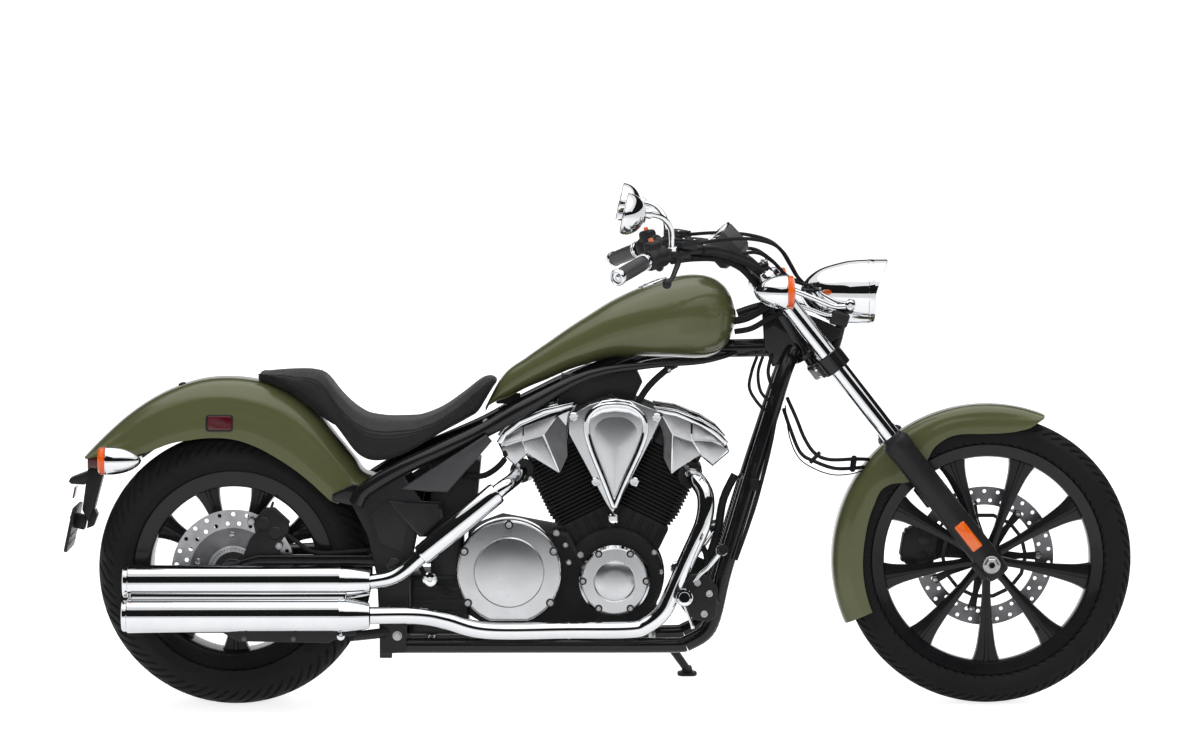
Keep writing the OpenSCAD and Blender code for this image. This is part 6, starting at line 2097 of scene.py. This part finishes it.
@dataclass(frozen=True)
class Headlight:
    """Bullet headlight with a hood, a glass front and two stays."""

    body: str = "steering"
    x: float = 1515.0
    z: float = 989.0
    r: float = 79.0

    def build(self, shop: Workshop) -> None:
        """Makes the headlight and the front signals."""
        seat = looking([self.x, 0, self.z], [1, 0, 0])
        table = [[0, 79], [30, 77.6], [60, 73], [110, 58], [140, 38], [154, 20], [159, 8], [160, 0]]
        outer = curve([[r, -d] for d, r in reversed(table)], 6)
        outer[:, 0] = np.maximum(outer[:, 0], 0)
        front = [[79.2, 0.2], [79.2, 1], [80, 1.6], [80, 14], [79, 16], [76, 17.5], [73, 17.5], [71.5, 15.5],
                 [71.5, 6]]
        bowl = [[70, 2], [62, -22], [48, -44], [30, -58], [12, -64], [0, -65]]
        shop.add("headlight_shell", revolve(np.concatenate([outer, front, bowl]), seat, 96), CHROME,
                 ["headlight"])
        self.hood(shop)
        ball = np.radians(np.arange(0, 91, 10))
        glass = np.concatenate([[[0, -6]], [[71.3, -6]],
                                np.column_stack([71.3 * np.cos(ball), 8 + 9 * np.sin(ball)])])
        shop.add("headlight_glass", revolve(glass, seat, 80), GLASS, ["headlight_lens"])
        bulb = revolve([[0, -64], [13, -64], [13, -52], [8, -48], [8, -28], [5, -22], [0, -21]], seat, 24)
        shop.add("headlight_bulb", bulb, SATIN_CHROME)
        stay = tube([[1467, 77, 960], [1432, 82, 960], [1396, 90, 974], [1352, 98, 992], [1318, 104, 1004]], 6.5, 16)
        twin = tube([[1451, 78, 940], [1418, 82, 939], [1384, 90, 950], [1350, 100, 962]], 5, 14)
        screw = copies(revolve([[0, -5], [12, -5], [12.5, 3], [9.5, 6], [5, 6.6], [4.6, 4], [0, 4]], LOCAL, 32),
                       [sideways(1470, 962, 80)])
        shop.add("headlight_stays", joined([stay, twin, screw]).both(), CHROME)
        hinge = box([44, 24, 34], looking([1445, 76, 930], [0.3, 0, 1]), 6)
        shop.add("headlight_ears", hinge.both(), SATIN)
        bullet_lamp(shop, "front", (0, 200, 1000), (1333, 1312, 1236), 41)
        stalk = tube([[1290, 170, 1005], [1292, 156, 1008], [1290, 136, 1012], [1290, 112, 1010]], 10, 20)
        shop.add("front_signal_stalks", stalk.both(), CHROME)

    def hood(self, shop: Workshop) -> None:
        """Hood over the glass: a thin arc whose front edge is longest at the top."""
        turn = np.radians(np.linspace(-14, 194, 53))
        reach = 17 + 31 * np.clip(np.sin(turn), 0, 1)**1.15
        rings = []
        for r, share in ((77.5, 0.05), (77.7, 1.0), (78.6, 1.02), (79.6, 1.0), (79.4, 0.05)):
            rings.append(np.stack([self.x + reach * share, r * np.cos(turn), self.z + r * np.sin(turn)], -1))
        shop.add("headlight_hood", grid(np.stack(rings).transpose(1, 0, 2)), CHROME)


@dataclass(frozen=True)
class Bars:
    """Handlebar with grips, switches, levers, mirrors, speedometer and cables."""

    body: str = "steering"
    path: tuple = ((1262, 60, 1034), (1225, 110, 1066), (1146, 190, 1096), (1070, 262, 1099), (1020, 305, 1092),
                   (977, 345, 1079))
    end: tuple = (915, 443, 1049)
    gauge: tuple = (1150, 0, 1129)
    lean: float = 137.0

    def build(self, shop: Workshop) -> None:
        """Makes everything on the handlebar."""
        self.bar(shop)
        self.grips(shop)
        self.controls(shop)
        self.mirrors(shop)
        self.clock(shop)
        self.cables(shop)

    def bar(self, shop: Workshop) -> None:
        """One bent tube from grip to grip, and its clamps with their bolts."""
        half = list(self.path) + [(930, 419, 1056)]
        whole = [(x, -y, z) for x, y, z in reversed(half)] + half
        seat = looking([1262, 42, 1034], [-0.3, 0, 0.95])
        clamp = [box([46, 32, 38], seat, 8), box([44, 30, 8], seat.moved(0, 0, 21), 3)]
        shop.add("handlebar_tube", tube(whole, 12.7, 24, 8) + joined(clamp).both(), SATIN, ["handlebar"])
        heads = joined(copies(bolt(7.5, 6), [seat.moved(u, 0, 24.5)]) for u in (-15, 15))
        shop.add("handlebar_bolts", heads.both(), CHROME)

    def grip_seat(self) -> tuple[Seat3, float]:
        """Axes of the left grip, and its length."""
        a, b = np.array(self.path[-1], float), np.array(self.end, float)
        return looking(a, b - a, (0, 0, 1)), float(np.linalg.norm(b - a))

    def grips(self, shop: Workshop) -> None:
        """Rubber grips with fine flutes, between chrome collars and hollowed chrome ends."""
        seat, long = self.grip_seat()
        t = np.linspace(0, 1, 61)
        ribs = np.column_stack([17.3 + 0.25 * (np.arange(61) % 2) + 0.9 * np.sin(np.pi * t), 13 + (long - 16) * t])
        rubber = revolve(np.concatenate([[[12.9, 12]], ribs, [[12.9, long - 2]]]), seat, 48, True)
        shop.add("grip_rubbers", rubber.both(), DARK_GREY, ["grips"], "rubber")
        collar = revolve([[12.9, 0], [19, 0], [21, 2], [21, 6], [19.6, 7.4], [19.6, 9], [21, 10.4], [20.4, 13.6],
                          [17, 14], [12.9, 14]], seat, 56, True)
        tip = revolve([[0, long - 4], [18.6, long - 4], [19.6, long - 2], [20, long + 2], [19.6, long + 8],
                       [17, long + 12], [15, long + 12.6], [13.4, long + 11], [12, long + 5], [7, long + 4],
                       [6, long + 8], [4, long + 9.4], [0, long + 9.8]], seat, 56)
        shop.add("grip_ends", joined([collar, tip]).both(), CHROME)

    def controls(self, shop: Workshop) -> None:
        """Switch housings, fluid reservoirs, levers and cable sleeves."""
        seat = looking([1022, 303.5, 1092.5], [-42, 38.5, -12.5], (0, 0, 1))
        shell = revolve([[12.8, 0], [20, 0], [24, 3], [25.5, 8], [25.5, 26], [24.6, 27.6], [25.5, 29.2], [25.5, 50],
                         [23, 56], [18, 58], [12.8, 58]], seat, 48, True)
        lump = box([30, 40, 40], seat.moved(4, 20, 28), 9)
        tank_seat = Seat3(np.array([1064.0, 268, 1108]), self.turn(6, -40))
        tank_ = box([50, 54, 20], tank_seat.moved(3, 1, 6), 6)
        lid = box([47, 51, 6], tank_seat.moved(3, 1, 18), 5)
        perch = rod([1014, 300, 1097], [1064, 280, 1086], 15, 15, 28, 3)
        lug = box([34, 34, 20], tank_seat.moved(-4, 6, -16), 6)
        lever = tube([[1052, 284, 1086], [1054, 308, 1074], [1048, 336, 1060], [1040, 368, 1044], [1028, 404, 1030]],
                     [9, 7, 6.5, 6, 5.5], 18, 6, (0, 0, 1), 0.7)
        a = np.linspace(-np.pi / 2, np.pi / 2, 13)
        ball = revolve(np.column_stack([11 * np.cos(a), 11 * np.sin(a)]),
                       looking([1026, 406, 1030], [0, 1, 0], (0, 0, 1)), 28)
        hollow = revolve([[0, 9.8], [5, 9.8], [5, 11.6], [0, 11.6]],
                         looking([1026, 406, 1030], [0, -1, 0], (0, 0, 1)), 20)
        shop.add("control_housings", joined([shell, lump, tank_, lid, perch, lug, lever, ball, hollow]).both(),
                 SATIN, ["hand_controls"])
        button = box([12, 16, 8], seat.moved(4, 40, 30), 3)
        shop.add("stop_switches", button.both(), AMBER)
        sleeves = [tube([[1030, 292, 1098], [1052, 280, 1108], [1072, 270, 1116], [1092, 263, 1120]],
                        [6, 6.5, 6.5, 6], 18),
                   tube([[1008, 310, 1084], [1018, 306, 1088], [1036, 296, 1094], [1060, 276, 1089]],
                        [6.5, 7, 6.5, 6], 18)]
        collars = [rod([1072, 270, 1116], [1080, 267, 1118], 8, 8, 6),
                   rod([1036, 296, 1094], [1044, 290, 1093], 8, 8, 6)]
        screws = copies(bolt(3.4, 2, Head.DOME),
                        [tank_seat.moved(3 + u, 1 + v, 20.8) for u in (-17, 17) for v in (-19, 19)])
        shop.add("cable_sleeves", joined(sleeves + collars + [screws]).both(), CHROME)

    @staticmethod
    def turn(pitch: float, yaw: float) -> Array:
        """Rows of axes turned by a pitch, then by a yaw, in degrees."""
        p, y = np.radians([pitch, yaw])
        flat = np.array([[np.cos(p), 0, -np.sin(p)], [0, 1, 0], [np.sin(p), 0, np.cos(p)]])
        about = np.array([[np.cos(y), np.sin(y), 0], [-np.sin(y), np.cos(y), 0], [0, 0, 1]])
        return flat @ about

    @staticmethod
    def mirrors(shop: Workshop) -> None:
        """Teardrop mirrors: a domed back drawn to its stem, and a flat glass set in a rim."""
        tilt = np.radians(12)
        seat = looking([944, 384, 1192], [np.cos(tilt), 0, -np.sin(tilt)])
        a = np.arange(72) * TAU / 72
        low, side = -np.cos(a), np.sin(a)
        tall = np.where(low > 0, 46, 52)
        edge = np.stack([-tall * low * (np.abs(low) + 0.02)**0.06, 64 * side * (1 - 0.1 * low)], -1)
        t = np.linspace(0, 1, 15)[:, None, None]
        size = (1 - t**2.1)**0.62
        drift = np.array([0.0, -16.0]) * t**1.5
        dome = np.concatenate([edge[None] * size + drift, np.broadcast_to(-12 + 50 * t, (15, 72, 1))], -1)
        rim = [(0.9, -13.5), (0.915, -16), (0.95, -17.5), (0.985, -16.5), (1.0, -12.5)]
        glass = np.stack([np.concatenate([edge * s, np.full((72, 1), h)], -1) for s, h in rim])
        shop.add("mirror_shells", grid(seat.at(np.concatenate([glass, dome]))).both(), CHROME, ["mirrors"])
        stem = tube([[1040, 292, 1102], [1040, 300, 1134], [1035, 318, 1160], [1014, 342, 1183], [978, 364, 1193]],
                    [7, 7, 6.8, 6.8, 8.5], 24, 8, (0.2, 1, 0.1))
        foot = revolve([[0, -4], [11, -4], [11, 6], [9, 8], [0, 8]],
                       looking([1040, 292, 1104], [0, 0.25, 1], (1, 0, 0)), 6)
        cup = revolve([[0, -6], [12, -6], [13, 0], [10, 8], [0, 10]], looking([984, 361, 1192], [-0.95, 0.4, 0.1]),
                      32)
        shop.add("mirror_stems", joined([stem, foot, cup]).both(), CHROME)

    def clock(self, shop: Workshop) -> None:
        """Speedometer pod: a faceted bowl, a bezel, and a dial with marks and a hand."""
        a = np.radians(self.lean)
        seat = looking(self.gauge, [np.sin(a), 0, np.cos(a)])
        facets = revolve([[0, 80], [36, 80], [39, 78.6], [48.6, 68], [49.5, 64], [49.5, 10], [48, 7], [43, 5],
                          [43, 8], [0, 8]], seat.turned(22.5), 8)
        neck = tube([[1204, 0, 1072], [1230, 0, 1058], [1258, 0, 1038]], [17, 15, 14], 24)
        bar_plate = box([40, 90, 10], looking([1256, 0, 1036], [-0.3, 0, 0.95]), 4)
        shop.add("speedometer_pod", [facets, neck, bar_plate], DARK_GREY, ["instrument"], "satin_black")
        bezel = revolve([[38.5, 8], [44, 8], [45, 4], [44.4, 0.6], [42.5, -0.6], [40, 0.4], [38.5, 3]], seat, 72,
                        True)
        ticks = joined(copies(box([7 if k % 2 else 4, 1.4, 1], LOCAL, 0.2), [s.moved(0, 0, 0)]) for k, s in enumerate(
            circle_of(27, 31, seat.moved(0, 0, 5.6), 0)) if 3 < k < 25)
        hand = slab([[-6, -1.6], [30, -0.5], [30, 0.5], [-6, 1.6]], 5.4, 3.8, seat.turned(140), 0.3)
        cap = revolve([[0, 2.6], [4, 2.6], [5, 5.4], [0, 5.4]], seat, 20)
        shop.add("speedometer_bezel", [bezel, cap], CHROME)
        dial = revolve([[0, 6], [39, 6], [39, 8.6], [0, 8.6]], seat, 48)
        shop.add("speedometer_dial", dial, RUBBER, slot="satin_black")
        shop.add("speedometer_marks", ticks + hand, GREY_METAL)

    @staticmethod
    def cables(shop: Workshop) -> None:
        """Throttle, clutch and brake lines over the bars, wire looms under them, and their bands."""
        lines = [
            tube([[1072, 268, 1116], [1100, 262, 1118], [1160, 200, 1124], [1229, 130, 1123], [1283, 90, 1110],
                  [1311, 66, 1088], [1330, 50, 1058], [1346, 36, 1030], [1362, 24, 1012]], 4.4, 14, 8),
            tube([[1030, 300, 1094], [1090, 254, 1084], [1160, 170, 1078], [1240, 104, 1090], [1286, 70, 1066],
                  [1326, 52, 1026], [1370, 40, 1008]], 4.4, 14, 8),
            tube([[1040, 288, 1078], [1090, 238, 1082], [1150, 176, 1078], [1204, 120, 1056], [1240, 84, 1020],
                  [1268, 62, 984], [1290, 48, 950]], 8, 16, 8)]
        bands = [rod(a, b, 14.6, 14.6, 20, 1) for a, b in
                 (([1112, 222, 1098], [1106, 228, 1098.4]), ([1180, 154, 1086], [1174, 160, 1088]))]
        shop.add("control_cables", joined(lines + bands).both(), RUBBER, ["bar_cables"])


@dataclass(frozen=True)
class SideStand:
    """Side stand: a hinged leg with a forged eye, a kick pin and a foot flat on the ground."""

    body: str = "stand"
    lean: float = 7.0
    pin: tuple = (1010.0, 172.0, 168.0)
    foot: tuple = (1092.0, 262.0, 31.62)

    def build(self, shop: Workshop) -> None:
        """Makes the stand."""
        hinge = stand_seat()
        pin, foot = np.array(self.pin), np.array(self.foot)
        top = foot + [0, -8, 14]
        eye = revolve([[8.3, -13], [16, -13], [18, -11], [18, 11], [16, 13], [8.3, 13]], hinge, 40, True)
        way = (top - pin) / np.linalg.norm(top - pin)
        leg = tube([pin + way * 12, pin + way * 50, (pin + top) / 2 + way * 10, top], [12.5, 12, 10.5, 9.5], 24, 6)
        a = np.radians(self.lean)
        ground = Seat3(foot, np.array([[1.0, 0, 0], [0, np.cos(a), np.sin(a)], [0, -np.sin(a), np.cos(a)]]))
        pad = slab(rounded(24, 21, 14, 6), 0.1, 6, ground, 2)
        neck = revolve([[0, 4], [17, 4], [15, 8], [12.5, 16], [11, 22], [0, 22]], ground, 28)
        kick = tube([pin + way * 96, pin + way * 96 + np.array([8, 14, 6]), pin + way * 96 + np.array([30, 40, 6])],
                    [5, 5, 6], 14)
        shop.add("stand_leg", [eye, leg, pad, neck, kick], SATIN, ["side_stand"])
        shop.add("stand_pin_caps", (copies(bolt(7.8, 5, Head.HEX), [hinge.moved(0, 0, 24.2)]) for _ in range(1)),
                 STEEL, body="chassis")


# ---- the machine ----------------------------------------------------------------------------


def main() -> None:
    """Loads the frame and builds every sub-assembly in order."""
    logging.basicConfig(level=logging.INFO, format="%(name)s: %(message)s", force=True)
    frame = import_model()
    stance = Stance.from_joints(frame["joints"], WHEELBASE, FRONT_R - REAR_R, REAR_R)
    shop = Workshop(stance)
    Studio(stance).build()
    parts: list = [
        Wheel("rear", "rear_wheel", x=0, r=REAR_R, half=100, crown=110, bead=228.6, bead_half=70, opening=202,
              hub_r=48, hub_half=75, bore_r=15, grooves=34, sweep=1.5),
        Wheel("front", "front_wheel", x=WHEELBASE, r=FRONT_R, half=45, crown=48, bead=268, bead_half=28, opening=250,
              hub_r=36, hub_half=55, bore_r=13.5, grooves=40, sweep=1.1),
        Discs(), Chassis(), Tank(), Fenders(), Saddle(), Tail(),
        Engine(), Exhaust(), RearEnd(),
        FrontFork(), Headlight(), Bars(), SideStand(),
    ]
    for part in parts:
        shop.body = getattr(part, "body", "chassis")
        part.build(shop)
        LOG.info("%s is done", type(part).__name__)


if __name__ == "__main__":
    main()
